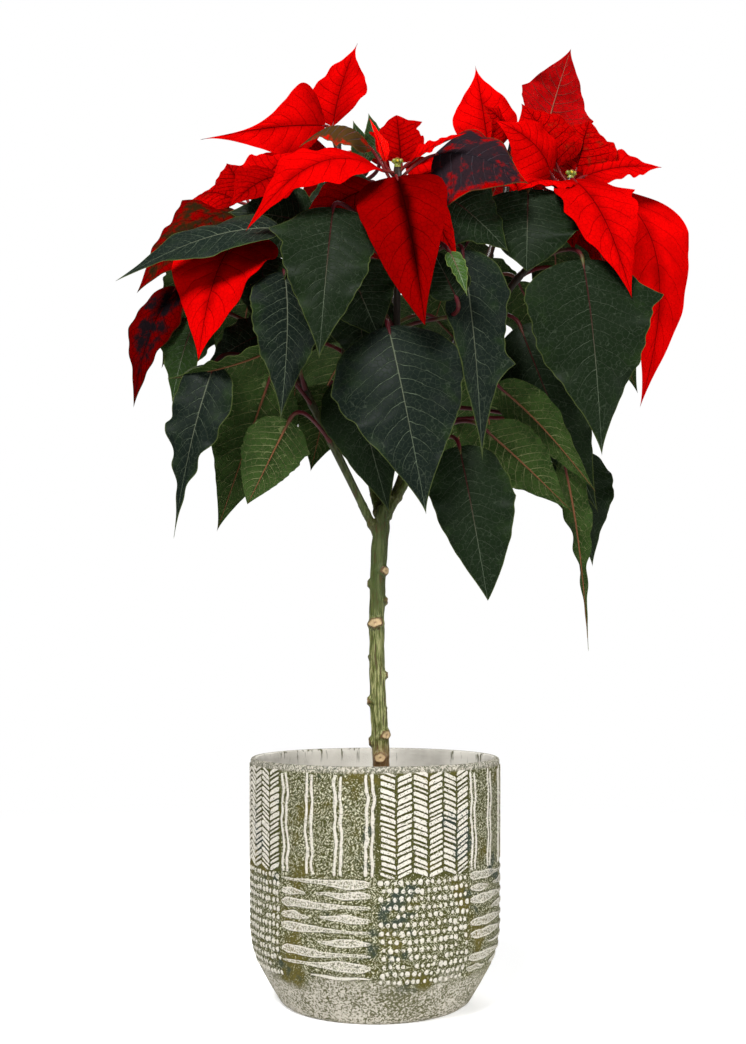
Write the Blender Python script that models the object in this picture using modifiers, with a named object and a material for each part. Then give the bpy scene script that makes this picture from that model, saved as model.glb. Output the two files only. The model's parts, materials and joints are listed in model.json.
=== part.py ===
# A poinsettia grown as a small tree: one bare trunk in a round cement pot, six leafy
# stems above it and a bloom of red bracts on the end of each stem.
#
# Metres, +Z up. The origin is the centre of the pot's flat base, and -Y is the side that
# the photograph shows. Rows of leaves and bracts are in millimetres, as is every MM value.

import math
import random
from dataclasses import dataclass, replace

import bmesh
import bpy
from mathutils import Matrix, Vector
from mathutils.bvhtree import BVHTree

PARTS = "poinsettia"
CUTTERS = "cutters"

MM = 0.001
GAP = 0.3 * MM                  # between pieces that touch on the real plant

# Pot
POT_HEIGHT = 184.5 * MM
POT_RADIUS = 95 * MM
POT_FOOT_RADIUS = 70 * MM
POT_SHOULDER = 44 * MM          # height where the straight wall turns in to the foot
POT_WALL = 6 * MM
POT_FLOOR = 10 * MM
POT_SIDES = 48

# Soil
SOIL_TOP = 150 * MM
SOIL_MOUND = 5 * MM             # how far the middle stands above the edge
SOIL_SLACK = 0.6 * MM           # between the soil and the pot's wall
SOIL_SIDES = 28
ROOT_DEPTH = 90 * MM            # how far the trunk stands in the soil
HOLE_SLACK = 0.5 * MM           # between the trunk and its hole
HOLE_SIDES = 24

# Trunk and stems
TRUNK_DETAIL = 3                # bevel resolution that gives 10 sides
STEM_DETAIL = 1                 # bevel resolution that gives 6 sides
TRUNK_RADIUS = 6.1 * MM
STEM_RADIUS_LOW = 3.7 * MM
STEM_RADIUS_TOP = 2.6 * MM
STEM_PIECES = 9
END_STEP = 1 * MM               # straight stretch at each end of a stem's piece
STUB_LENGTH = 36 * MM           # of each fork, which grows as one with the trunk
CROWN_LENGTH = 28 * MM          # top of a stem, where its bracts leave
CROWN_RADIUS = 2.5 * MM
LEAF_STALK = 1.5 * MM           # radius
BRACT_STALK = 1.2 * MM
LONG_STALK = 45 * MM            # longer stalks are bent in four pieces, others in two
SCAR_DEPTH = 1.6 * MM           # half the thickness of a leaf scar
SCAR_SUNK = 0.4 * MM

# Flower cluster on the end of each stem
FLOWER_HEIGHT = 8.5 * MM        # room that a cluster takes
FLOWER_RADIUS = 3.0 * MM
FLOWER_FOOT = (3.2 * MM, 2.4 * MM, 3.4 * MM)    # height, radius below, radius above
CUP_SIZE = (1.9 * MM, 1.9 * MM, 3.0 * MM)
CUPS_AROUND = 4                 # round the one in the middle
CUP_LEAN = 0.75

# Blades
BLADE_THICKNESS = 0.8 * MM
BLADE_CLEARANCE = 0.7 * MM      # left on both faces of a blade while it is settled
BROAD_STATIONS = (0.07, 0.22, 0.38, 0.57, 0.79)
SLIM_STATIONS = (0.09, 0.27, 0.50, 0.76)
BROAD_BLADE = 50 * MM           # wider blades get five points across, others three
TOOTH_SPAN = 0.09               # share of the length that half a tooth takes
RIPPLE = 0.16                   # waves along the edges, as a share of the half width
DROOP = -0.10                   # how the edges hang, as a share of the half width
STALK_RISE = 0.35               # how far a stalk first climbs, as a share of its span
LIE_IN_LINE = 0.06              # place on the midrib that the stalk's end points to

# Outline of a blade. For its left and its right edge, as seen with the tip down: how
# fast it widens, how fast it narrows and its size. Then its teeth, as (1 for left or -1
# for right, place along the blade, reach), and its twist from base to tip in radians.
FORMS = {
    "leaf": ((0.52, 1.45, 1.0), (0.52, 1.45, 1.0), (), 0.0),
    "lobed": ((0.50, 1.40, 0.95), (0.50, 1.40, 0.95), ((1, 0.22, 0.22), (-1, 0.22, 0.20)), 0.0),
    "shouldered": ((0.45, 1.15, 0.9), (0.45, 0.95, 1.0), ((1, 0.22, 0.2), (-1, 0.38, 0.08)), 0.0),
    "toothed": ((0.48, 1.45, 1.0), (0.50, 1.50, 0.95), ((-1, 0.22, 0.25), (-1, 0.57, 0.05)), 0.0),
    "hooked": ((0.50, 1.60, 0.7), (0.50, 1.55, 1.0), ((-1, 0.22, 0.15), (-1, 0.57, 0.35)), 0.0),
    "tailed": ((0.55, 1.95, 1.0), (0.55, 1.95, 1.0), ((1, 0.38, 0.15),), 0.7),
    "bract": ((0.66, 1.50, 1.0), (0.66, 1.50, 1.0), (), 0.0),
    "heart": ((0.36, 0.95, 1.0), (0.30, 1.35, 0.95), (), 0.0),
    "swept": ((1.0, 2.2, 1.0), (1.0, 2.2, 1.0), (), 0.0),
    "trailing": ((0.6, 4.2, 1.0), (1.2, 2.2, 0.65), (), 0.0),
    "cornered": ((0.55, 1.45, 0.95), (0.55, 1.45, 0.95), ((-1, 0.22, 0.30), (1, 0.38, 0.12)), 0.0),
    "ragged": ((0.50, 0.90, 0.9), (0.50, 0.90, 0.9), ((-1, 0.50, 0.35), (1, 0.76, 0.45)), 0.0),
}

# Each stem from its fork in the trunk to the flowers at its top.
STEMS = {
    "left": ((3, 0, 350), (-4, -3, 364), (-27, -10, 410), (-54, -19, 463),
             (-74, -24, 515), (-86, -24, 560), (-90, -22, 602)),
    "front": ((7, 0, 366), (11, -2, 400), (14, -14, 450), (16, -32, 510),
              (16, -50, 560), (16, -60, 610)),
    "right": ((7, 0, 364), (23, -1, 392), (48, -2, 438), (76, -4, 497),
              (103, -6, 540), (126, -8, 565), (141, -9, 592), (147, -10, 620)),
    "back_left": ((5, 2, 360), (-4, 18, 400), (-18, 33, 460), (-27, 43, 540),
                  (-31, 48, 610), (-29, 47, 668)),
    "back_right": ((9, 2, 366), (26, 26, 415), (54, 50, 490), (84, 64, 560),
                   (104, 70, 625), (112, 72, 680)),
    "back": ((5, 5, 358), (4, 30, 410), (10, 66, 480), (15, 92, 545),
             (18, 108, 595), (18, 114, 636)),
}

# Trunk's middle line and the radius there, as a share of TRUNK_RADIUS.
TRUNK = (((5, 0, 62), 1.0), ((5, 0, 150), 1.0), ((5, 0, 172), 1.02), ((4, 0, 196), 1.1),
         ((2.5, 0, 227), 1.02), ((1.6, 0, 258), 0.96), ((1.3, 0, 286), 0.92),
         ((2, 0, 316), 0.97), ((3.6, 0, 345), 1.02), ((5.5, 0, 364), 0.92),
         ((7, 0, 376), 0.72))

# Leaf scars on the trunk: height, direction (0 is +X, -90 the front), radius.
SCARS = ((327, -40, 3.4), (315, 165, 3.0), (302, 10, 2.6), (286, -100, 4.2),
         (245, 5, 2.6), (226, 180, 3.2), (204, -50, 3.6), (195, 170, 3.4),
         (184, -95, 4.0), (262, 120, 2.8), (336, 80, 3.0), (218, 70, 3.0))

# Leaves that the photograph shows. Each row: stem, height where the stalk leaves it,
# blade's base, its tip, where the upper face looks, width, arch as a share of the
# length, cup as a slope (below 0 the sides droop), form.
SEEN_LEAVES = (
    ("front", 550, (-29, -88, 572), (-38, -112, 461), (0.0, -1.0, 0.1), 70, 0.08, 0.10, "lobed"),
    ("front", 546, (-67, -72, 563), (-182, -92, 526), (0.0, -0.50, 0.85), 50, 0.08, 0.10, "leaf"),
    ("front", 470, (9, -80, 492), (35, -98, 358), (0.0, -1.0, 0.1), 92, 0.08, -0.08, "leaf"),
    ("front", 536, (62, -64, 550), (75, -80, 397), (0.2, -1.0, 0.1), 56, 0.05, 0.20, "hooked"),
    ("right", 556, (149, -55, 546), (160, -72, 402), (0.05, -1.0, 0.15), 92, 0.06, 0.05, "toothed"),
    ("right", 404, (60, -60, 411), (80, -66, 300), (0.0, -1.0, 0.1), 62, 0.06, 0.12, "shouldered"),
    ("left", 463, (-114, -68, 467), (-143, -66, 344), (-0.1, -0.95, 0.25), 46, 0.08, 0.20, "tailed"),
    ("left", 500, (-64, -72, 532), (-66, -84, 425), (0.35, -0.9, 0.2), 52, 0.10, -0.10, "leaf"),
    ("front", 500, (-20, -64, 540), (4, -68, 486), (0.0, -1.0, 0.1), 62, 0.05, -0.05, "lobed"),
    ("left", 456, (-70, -76, 478), (-148, -64, 458), (0.0, 0.35, 0.9), 34, -0.05, -0.10, "leaf"),
    ("left", 448, (-75, -50, 464), (-116, -36, 352), (-0.1, 0.95, 0.2), 60, 0.05, 0.10, "leaf"),
    ("left", 421, (-61, -66, 428), (-91, -62, 369), (0.0, 0.9, 0.3), 46, 0.05, 0.10, "shouldered"),
    ("right", 430, (79, -50, 425), (144, -40, 366), (0.0, 0.85, 0.5), 46, 0.05, 0.05, "leaf"),
    ("right", 474, (88, -46, 458), (160, -46, 380), (0.3, 0.8, 0.5), 36, 0.08, 0.25, "leaf"),
    ("right", 452, (138, -34, 408), (158, -26, 264), (0.5, 0.8, 0.1), 25, 0.06, 0.30, "tailed"),
    ("right", 520, (108, -20, 507), (169, -20, 368), (-0.2, -0.9, 0.3), 66, 0.10, 0.05, "lobed"),
    ("front", 440, (-16, -36, 470), (11, -36, 364), (-0.2, -0.95, 0.0), 62, 0.06, 0.05, "leaf"),
    ("right", 572, (112, -38, 602), (109, -52, 538), (-0.1, -0.9, 0.4), 84, 0.06, 0.05, "shouldered"),
    ("front", 566, (48, -58, 592), (100, -56, 556), (0.0, -0.85, 0.5), 68, 0.06, 0.05, "leaf"),
    ("front", 500, (56, -92, 508), (41, -92, 547), (0.0, -1.0, 0.1), 32, 0.04, 0.05, "leaf"),
    ("front", 544, (51, -98, 538), (63, -100, 507), (0.3, -0.9, 0.2), 15, 0.05, 0.35, "leaf"),
    ("left", 505, (-80, -60, 546), (-77, -64, 486), (-0.5, -0.8, 0.2), 42, 0.05, 0.20, "leaf"),
    ("left", 484, (-72, -48, 497), (-128, -44, 470), (0.0, -0.9, 0.4), 46, 0.08, 0.05, "leaf"),
    ("left", 492, (-132, -26, 512), (-150, -28, 448), (-0.3, -0.9, 0.3), 42, 0.06, 0.05, "leaf"),
    ("back_left", 440, (-34, 8, 468), (-49, 0, 401), (0.0, 0.9, 0.2), 46, 0.05, 0.05, "leaf"),
    ("back_left", 620, (3, 4, 640), (-5, 4, 675), (0.2, -0.9, 0.3), 22, 0.03, 0.30, "leaf"),
    ("back_left", 628, (-6, 14, 640), (-17, 12, 673), (-0.2, -0.9, 0.3), 18, 0.03, 0.30, "leaf"),
    ("back_right", 440, (152, 14, 420), (166, 4, 329), (0.2, -0.9, 0.2), 50, 0.08, 0.10, "leaf"),
    ("back_left", 596, (-4, 2, 622), (-56, -4, 600), (0.0, -0.85, 0.5), 46, 0.08, 0.05, "leaf"),
    ("left", 552, (-46, -36, 577), (-108, -30, 586), (0.0, -0.9, 0.4), 58, 0.08, 0.05, "leaf"),
    ("back_left", 500, (-14, 6, 540), (-6, 0, 470), (0.0, -0.95, 0.2), 54, 0.05, 0.05, "leaf"),
    ("front", 556, (-8, -48, 586), (-58, -42, 572), (0.0, -0.9, 0.4), 44, 0.06, 0.05, "leaf"),
)

# Bracts that the photograph shows, in rows of the same kind.
SEEN_BRACTS = (
    ("front", 602, (15, -75, 598), (34, -108, 485), (0.0, -1.0, 0.25), 66, 0.15, 0.08, "heart"),
    ("front", 604, (4, -66, 606), (-90, -88, 555), (-0.1, -0.7, 0.7), 58, 0.22, 0.12, "bract"),
    ("right", 610, (147, -25, 614), (182, -68, 514), (0.2, -0.85, 0.45), 62, 0.10, 0.15, "cornered"),
    ("right", 602, (180, 24, 626), (205, 18, 453), (0.45, -0.85, 0.25), 84, 0.24, 0.05, "leaf"),
    ("left", 582, (-97, -38, 568), (-124, -76, 462), (-0.15, -0.95, 0.2), 78, 0.12, 0.05, "leaf"),
    ("back_left", 658, (-38, 26, 674), (-132, -8, 650), (0.1, -1.0, -0.1), 66, 0.10, 0.12, "trailing"),
    ("back_left", 656, (-34, 62, 688), (-14, 72, 760), (-0.55, -0.85, 0.1), 64, 0.05, 0.35, "swept"),
    ("back_right", 672, (138, 56, 684), (158, 60, 750), (0.0, 0.8, 0.5), 58, 0.05, -0.10, "cornered"),
    ("back_right", 664, (92, 62, 668), (82, 76, 744), (0.0, -0.95, 0.2), 54, 0.04, 0.10, "swept"),
    ("right", 612, (158, -3, 624), (220, 8, 635), (0.0, -0.8, 0.6), 38, 0.07, 0.15, "bract"),
    ("right", 612, (132, -15, 621), (88, -30, 656), (-0.2, -0.8, 0.6), 58, 0.16, -0.05, "leaf"),
    ("right", 614, (138, -6, 630), (112, 8, 684), (0.0, -0.85, 0.5), 60, 0.12, -0.05, "leaf"),
    ("right", 614, (153, 3, 630), (167, 24, 678), (0.0, -0.95, 0.3), 56, 0.12, 0.10, "leaf"),
    ("right", 606, (138, -20, 606), (146, -34, 558), (0.0, -1.0, 0.1), 38, 0.08, 0.10, "bract"),
    ("right", 608, (132, -18, 613), (98, -44, 594), (-0.1, -0.8, 0.6), 50, 0.10, 0.10, "leaf"),
    ("front", 598, (42, -56, 620), (109, -66, 596), (0.0, -0.9, 0.45), 80, 0.14, -0.15, "leaf"),
    ("front", 600, (19, -44, 619), (16, -24, 662), (0.0, -0.8, 0.6), 40, 0.05, 0.15, "ragged"),
    ("front", 606, (24, -63, 612), (66, -76, 624), (0.0, -0.6, 0.8), 22, 0.05, 0.25, "bract"),
    ("front", 598, (7, -58, 614), (-4, -60, 645), (0.6, -0.6, 0.3), 12, 0.04, 0.40, "bract"),
    ("front", 598, (27, -50, 605), (76, -14, 622), (0.0, -0.7, 0.7), 48, 0.10, 0.10, "bract"),
    ("front", 590, (30, -72, 588), (53, -78, 532), (0.1, -1.0, 0.1), 24, 0.08, 0.15, "bract"),
    ("front", 592, (-2, -40, 630), (-56, -34, 634), (0.1, -0.6, 0.8), 42, 0.30, -0.25, "leaf"),
    ("left", 586, (-103, -22, 592), (-175, -34, 527), (-0.3, -0.85, 0.4), 66, 0.14, -0.05, "lobed"),
    ("left", 594, (-102, -18, 600), (-147, 14, 607), (-0.2, -0.65, 0.7), 50, 0.16, -0.05, "ragged"),
    ("left", 586, (-98, -10, 608), (-113, 2, 636), (-0.3, -0.8, 0.5), 44, 0.08, 0.10, "leaf"),
    ("left", 582, (-66, -36, 612), (-104, -60, 582), (-0.2, -0.85, 0.4), 50, 0.12, 0.10, "bract"),
    ("left", 578, (-148, -16, 537), (-182, -8, 448), (-0.5, -0.8, 0.2), 44, 0.10, 0.10, "leaf"),
    ("back_left", 650, (-28, 30, 648), (-106, 14, 630), (0.0, -0.8, 0.6), 52, 0.10, 0.10, "bract"),
    ("back_right", 658, (108, 50, 676), (84, 34, 694), (0.0, -0.8, 0.6), 44, 0.10, -0.15, "leaf"),
    ("left", 590, (-86, -14, 612), (-62, 6, 646), (0.1, -0.8, 0.5), 46, 0.10, 0.05, "leaf"),
    ("right", 606, (128, -6, 614), (84, 2, 630), (-0.1, -0.8, 0.6), 48, 0.12, 0.05, "leaf"),
    ("front", 596, (0, -56, 598), (-62, -56, 562), (0.0, -0.95, 0.2), 34, 0.10, 0.05, "bract"),
)

# Blades behind, out of the photograph's sight. Each row: stem, height on it, direction
# (0 is +X, 90 the back), pitch above level, length.
BACK_LEAVES = (
    ("left", 478, 125, -62, 118), ("left", 540, 105, -38, 122), ("left", 552, 135, -44, 104),
    ("right", 476, 70, -60, 120), ("right", 545, 40, -42, 124), ("right", 580, 85, -34, 110),
    ("back_left", 500, 140, -40, 112), ("back_left", 545, 110, -46, 128),
    ("back_left", 590, 165, -32, 118), ("back_right", 500, 80, -64, 126),
    ("back_right", 560, 45, -50, 130), ("back_right", 600, 110, -40, 120),
    ("back", 500, 70, -60, 116), ("back", 512, 125, -46, 126), ("back", 535, 40, -50, 126),
    ("back", 560, 92, -44, 128), ("back", 588, 160, -34, 108), ("back", 580, 15, -36, 104),
)
BACK_BRACTS = (
    ("left", 580, 120, -22, 92), ("left", 586, 75, -12, 84),
    ("right", 600, 60, -26, 98), ("right", 606, 34, -34, 88), ("right", 610, 100, 8, 72),
    ("front", 600, 95, -6, 70),
    ("back_left", 650, 95, -30, 104), ("back_left", 656, 150, -12, 86), ("back_left", 660, 60, 6, 74),
    ("back_right", 660, 100, -28, 104), ("back_right", 664, 30, -20, 92), ("back_right", 668, 65, 10, 76),
    ("back", 620, 45, -30, 106), ("back", 622, 135, -28, 106), ("back", 624, 90, -18, 100),
    ("back", 626, 0, -10, 84), ("back", 627, 112, 14, 72), ("back", 628, 66, 18, 66),
)
BACK_LEAF_STALK = 50            # level distance from the stem to the blade
BACK_BRACT_STALK = 15

# Turns that a blade tries, from the least, until it is clear of the others: swing
# in depth, swing across the view, roll. Degrees.
SWINGS = (0, -5, 5, -10, 10, -15, 15, -21, 21, -28, 28, -36, 36)
TILTS = (0, -6, 6, -13, 13, -21, 21)
ROLLS = (0, -12, 12, -26, 26)
SHRINKS = (1.0, 0.86, 0.72, 0.58)
LEAST_SIZE = 0.8                # below it, a blade may touch others of its own node

COLOURS = {
    "cement": ((0.42, 0.41, 0.31, 1), 0.85),
    "soil": ((0.060, 0.040, 0.028, 1), 0.95),
    "bark": ((0.16, 0.20, 0.07, 1), 0.60),
    "leaf": ((0.020, 0.060, 0.028, 1), 0.50),
    "bract": ((0.62, 0.006, 0.010, 1), 0.50),
    "flower": ((0.36, 0.42, 0.06, 1), 0.45),
}


@dataclass
class Blade:
    node: str
    stem: str
    leaves_at: float            # height on the stem, metres
    base: Vector
    reach: Vector               # from the base to the tip
    face: Vector
    width: float
    arch: float
    cup: float
    form: str
    stalk: float                # radius of its stalk
    wave: float                 # phase of the waves along its edges


# Paths

def smooth_path(points, steps=10):
    """Points along a Catmull-Rom curve through these points, in metres."""
    knots = [Vector(p) * MM for p in points]
    knots = [2 * knots[0] - knots[1]] + knots + [2 * knots[-1] - knots[-2]]
    path = []
    for a, b, c, d in zip(knots, knots[1:], knots[2:], knots[3:]):
        for k in range(steps):
            t = k / steps
            path.append(0.5 * (2 * b + (c - a) * t + (2 * a - 5 * b + 4 * c - d) * t * t
                               + (3 * b - a - 3 * c + d) * t ** 3))
    return path + [knots[-2]]


def path_point(path, distance):
    """The point at this distance along a path."""
    for a, b in zip(path, path[1:]):
        step = (b - a).length
        if distance <= step:
            return a.lerp(b, distance / step)
        distance -= step
    return path[-1].copy()


def path_length(path):
    return sum((b - a).length for a, b in zip(path, path[1:]))


def path_piece(path, start, end, pieces):
    """The stretch of a path between two distances. A short step at each end keeps the
    end face square to the path, so that the faces of two pieces in line are parallel."""
    places = [start + (end - start) * k / pieces for k in range(pieces + 1)]
    places = [start, start + END_STEP] + places[1:-1] + [end - END_STEP, end]
    return [path_point(path, place) for place in places]


def point_at_height(path, height):
    return min(path, key=lambda p: abs(p.z - height))


STEM_PATHS = {name: smooth_path(points) for name, points in STEMS.items()}


# Blades

def half_width(blade, t, edge):
    """Distance from the midrib to an edge of a blade at t, from 0 at its base to 1."""
    left, right, teeth, _ = FORMS[blade.form]
    rise, fall, size = left if edge > 0 else right
    widest = rise / (rise + fall)
    peak = widest ** rise * (1 - widest) ** fall
    share = size * t ** rise * (1 - t) ** fall / peak
    for tooth_edge, place, reach in teeth:
        if tooth_edge == edge:
            share += reach * max(0.0, 1 - abs(t - place) / TOOTH_SPAN)
    return blade.width / 2 * share


def midrib(blade, t):
    """A point on the midrib, which arches to the side that the upper face looks to."""
    along = blade.reach.normalized()
    up = (blade.face - along * blade.face.dot(along)).normalized()
    bow = 4 * t * (1 - t) * (1.25 - 0.5 * t)
    return blade.base + blade.reach * t + up * (blade.arch * blade.reach.length * bow)


def blade_point(blade, t, across):
    """A point of a blade's middle surface, and its normal. across runs from -1 to 1."""
    step = 0.01
    low, high = max(t - step, 0), min(t + step, 1)
    along = (midrib(blade, high) - midrib(blade, low)).normalized()
    side = along.cross(blade.face).normalized()
    turn = Matrix.Rotation(FORMS[blade.form][3] * t, 3, along)
    side = turn @ side
    up = side.cross(along).normalized()
    edge = 1 if across > 0 else -1
    span = half_width(blade, t, edge)
    slope = math.atan(blade.cup)
    wave = math.sin(3.0 * math.pi * t + blade.wave + (1.3 if edge > 0 else 0))
    curl = (RIPPLE * wave * math.sin(math.pi * t) + DROOP) * across * across
    out = span * abs(across)
    height = out * math.sin(slope) + span * curl
    return midrib(blade, t) + side * (edge * out * math.cos(slope)) + up * height


def blade_rows(blade):
    """Rows of points across a blade's middle surface after its base, and the normal at
    each point. The last row is the one point of the tip."""
    broad = blade.width >= BROAD_BLADE
    columns = (-1, -0.5, 0, 0.5, 1) if broad else (-1, 0, 1)
    stations = BROAD_STATIONS if broad else SLIM_STATIONS
    points = [[blade_point(blade, t, c) for c in columns] for t in stations]
    normals = []
    for i, row in enumerate(points):
        before, after = points[max(i - 1, 0)], points[min(i + 1, len(points) - 1)]
        normals.append([])
        for j in range(len(row)):
            along = after[j] - before[j]
            across = row[min(j + 1, len(row) - 1)] - row[max(j - 1, 0)]
            normals[-1].append(across.cross(along).normalized())
    tip = midrib(blade, 1)
    last = points[-1]
    tip_normal = (last[-1] - last[0]).cross(tip - last[len(columns) // 2]).normalized()
    return points + [[tip]], normals + [[tip_normal]]


def stalk_path(blade):
    """The stalk's middle line: out of the middle of its stem and over to the blade's base."""
    start = point_at_height(STEM_PATHS[blade.stem], blade.leaves_at)
    span = (blade.base - start).length
    lift = Vector((0, 0, STALK_RISE * span))
    leaving = ((blade.base - start) + lift).normalized() * span * 0.36
    arriving = (midrib(blade, LIE_IN_LINE) - blade.base).normalized() * span * 0.30
    pieces = 4 if span > LONG_STALK else 2
    path = []
    for k in range(pieces + 1):
        t = k / pieces
        path.append(start * (1 - t) ** 3 + (start + leaving) * 3 * t * (1 - t) ** 2
                    + (blade.base - arriving) * 3 * t * t * (1 - t) + blade.base * t ** 3)
    return path


def stalk_rings(blade):
    """Four points round each station of the stalk, the last ring in line with the blade."""
    path = stalk_path(blade)
    rings = []
    side = None
    for k in reversed(range(len(path))):
        ahead = path[k + 1] if k + 1 < len(path) else midrib(blade, LIE_IN_LINE)
        along = (ahead - path[max(k - 1, 0)]).normalized()
        side = side or along.cross(blade.face)
        side = (side - along * side.dot(along)).normalized()
        up = side.cross(along)
        ring = [path[k] + offset * blade.stalk for offset in (-side, up, side, -up)]
        rings.append(ring)
    return rings[::-1]


def blade_shell(blade, thickness, first=0):
    """Vertices and triangles of a closed blade of this thickness, both faces split along
    the same diagonals. Its stalk is part of it, unless first leaves out that many rows."""
    points, normals = blade_rows(blade)
    points, normals = points[first:], normals[first:]
    top, bottom, starts = [], [], []
    for row, ups in zip(points, normals):
        starts.append(len(top))
        top += [p + n * thickness / 2 for p, n in zip(row, ups)]
        bottom += [p - n * thickness / 2 for p, n in zip(row, ups)]
    under = len(top)
    faces = []

    def both_faces(a, b, c):
        faces.extend(((a, b, c), (under + c, under + b, under + a)))

    def rim(a, b):
        faces.extend(((a, under + a, under + b), (a, under + b, b)))

    across = len(points[0])
    for low, high in zip(starts[:-2], starts[1:-1]):
        for j in range(across - 1):
            if j < across // 2:
                both_faces(low + j, low + j + 1, high + j + 1)
                both_faces(low + j, high + j + 1, high + j)
            else:
                both_faces(low + j, low + j + 1, high + j)
                both_faces(low + j + 1, high + j + 1, high + j)
        rim(high, low)
        rim(low + across - 1, high + across - 1)
    low, tip = starts[-2], starts[-1]
    for j in range(across - 1):
        both_faces(low + j, low + j + 1, tip)
    rim(tip, low)
    rim(low + across - 1, tip)
    if first:
        for j in range(across - 1):
            rim(j, j + 1)
        return top + bottom, faces

    rings = stalk_rings(blade)
    start = 2 * under
    for k in range(len(rings) - 1):
        ring = start + 4 * k
        for s in range(4):
            n = (s + 1) % 4
            faces.extend(((ring + s, ring + n, ring + 4 + n), (ring + s, ring + 4 + n, ring + 4 + s)))
    faces.extend(((start + 2, start + 1, start), (start + 3, start + 2, start)))
    left, crest, right, keel = (start + 4 * (len(rings) - 1) + s for s in range(4))
    middle = across // 2
    for j in range(across - 1):
        above, below = (left, left) if j < middle else (right, right)
        faces.extend(((above, j + 1, j), (below, under + j, under + j + 1)))
    faces.extend(((left, crest, middle), (crest, right, middle)))
    faces.extend(((keel, left, under + middle), (right, keel, under + middle)))
    faces.extend(((left, 0, under), (right, under + across - 1, across - 1)))
    return top + bottom + [p for ring in rings for p in ring], faces


def seen_blades():
    blades = []
    draw = random.Random(7)
    for rows, family, stalk in ((SEEN_BRACTS, "bloom", BRACT_STALK),
                                (SEEN_LEAVES, "leafy_stem", LEAF_STALK)):
        for stem, height, base, tip, face, width, arch, cup, form in rows:
            base, tip = Vector(base) * MM, Vector(tip) * MM
            blades.append(Blade(f"{family}_{stem}", stem, height * MM, base, tip - base,
                                Vector(face).normalized(), width * MM, arch, cup, form,
                                stalk, draw.uniform(0, 2 * math.pi)))
    return blades


def back_blades():
    """The blades behind: bracts in a rosette, and leaves that hang from their stalks."""
    blades = []
    draw = random.Random(23)
    up = Vector((0, 0, 1))
    for rows, family in ((BACK_BRACTS, "bloom"), (BACK_LEAVES, "leafy_stem")):
        for number, (stem, height, turn, pitch, length) in enumerate(rows):
            leaf = family == "leafy_stem"
            turn, pitch = math.radians(turn), math.radians(pitch)
            out = Vector((math.cos(turn), math.sin(turn), 0))
            start = point_at_height(STEM_PATHS[stem], height * MM)
            stalk = out * (BACK_LEAF_STALK if leaf else BACK_BRACT_STALK) * MM
            base = start + stalk + up * (14 * MM if leaf else 4 * MM)
            reach = (out * math.cos(pitch) + up * math.sin(pitch)) * length * MM
            face = up * math.cos(pitch) - out * math.sin(pitch)
            form = ("leaf", "lobed", "toothed")[number % 3] if leaf else "bract"
            blades.append(Blade(f"{family}_{stem}", stem, start.z, base, reach, face,
                                reach.length * (0.58 if leaf else 0.50), 0.10, 0.08, form,
                                LEAF_STALK if leaf else BRACT_STALK, draw.uniform(0, 2 * math.pi)))
    return blades


# Settling

def rod_tree(path, radius):
    """A search tree of a plain square rod along a path."""
    points, faces = [], []
    for k, p in enumerate(path):
        along = (path[min(k + 1, len(path) - 1)] - path[max(k - 1, 0)]).normalized()
        side = along.orthogonal().normalized() * radius
        other = along.cross(side)
        points += [p + side + other, p - side + other, p - side - other, p + side - other]
        if k:
            faces += [(4 * k - 4 + s, 4 * k - 4 + (s + 1) % 4, 4 * k + (s + 1) % 4, 4 * k + s)
                      for s in range(4)]
    return BVHTree.FromPolygons(points, faces)


def turned(blade, swing, tilt, roll, size):
    """A blade turned about its base: in depth, across the view and about its own length."""
    view = Vector((0, 1, 0))
    depth_axis = blade.reach.cross(view)
    if depth_axis.length < 0.2 * blade.reach.length:
        depth_axis = blade.reach.cross(Vector((0, 0, 1)))
    turn = (Matrix.Rotation(math.radians(swing), 3, depth_axis.normalized())
            @ Matrix.Rotation(math.radians(tilt), 3, view)
            @ Matrix.Rotation(math.radians(roll), 3, blade.reach.normalized()))
    return replace(blade, reach=turn @ blade.reach * size, face=turn @ blade.face,
                   width=blade.width * size)


def turn_size(turn):
    swing, tilt, roll = turn
    return abs(swing) + 1.3 * abs(tilt) + 0.4 * abs(roll)


# Every turn to try, the least first.
TURNS = sorted(((s, t, r) for s in SWINGS for t in TILTS for r in ROLLS), key=turn_size)


def stem_rods():
    """A search tree of each piece of each stem, with its node and no blade's number."""
    rods = []
    for stem, path in STEM_PATHS.items():
        length = path_length(path)
        ends = (0, STUB_LENGTH, length - CROWN_LENGTH, length)
        nodes = ("trunk", "leafy_stem_" + stem, "bloom_" + stem)
        for node, start, end in zip(nodes, ends, ends[1:]):
            rod = rod_tree(path_piece(path, start, end, 8), STEM_RADIUS_LOW + BLADE_CLEARANCE)
            rods.append((node, None, rod))
        up = (path[-1] - path[-4]).normalized()
        cluster = rod_tree([path[-1], path[-1] + up * FLOWER_HEIGHT], FLOWER_RADIUS)
        rods.append(("flowers_" + stem, None, cluster))
    return rods


def settled_place(blade, index, rods, placed):
    """The blade at its first turn that is clear, with the search trees of all of it and of
    the part past its stalk. Where no turn is, the first that is clear of other nodes."""
    thickness = BLADE_THICKNESS + 2 * BLADE_CLEARANCE
    fallback = None
    for size in SHRINKS:
        for swing, tilt, roll in TURNS:
            trial = turned(blade, swing, tilt, roll, size)
            full = BVHTree.FromPolygons(*blade_shell(trial, thickness))
            if any(full.overlap(rod) for node, _, rod in rods if node != blade.node):
                continue
            if any(full.overlap(other) for node, other, _ in placed if node != blade.node):
                continue
            outer = BVHTree.FromPolygons(*blade_shell(trial, thickness, first=2))
            fallback = fallback or (trial, full, outer)
            own_rods = (rod for node, owner, rod in rods if node == blade.node and owner != index)
            own_blades = (other for node, _, other in placed if node == blade.node)
            if not any(outer.overlap(tree) for tree in (*own_rods, *own_blades)):
                return trial, full, outer
        if fallback and size < LEAST_SIZE:
            break
    return fallback


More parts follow.
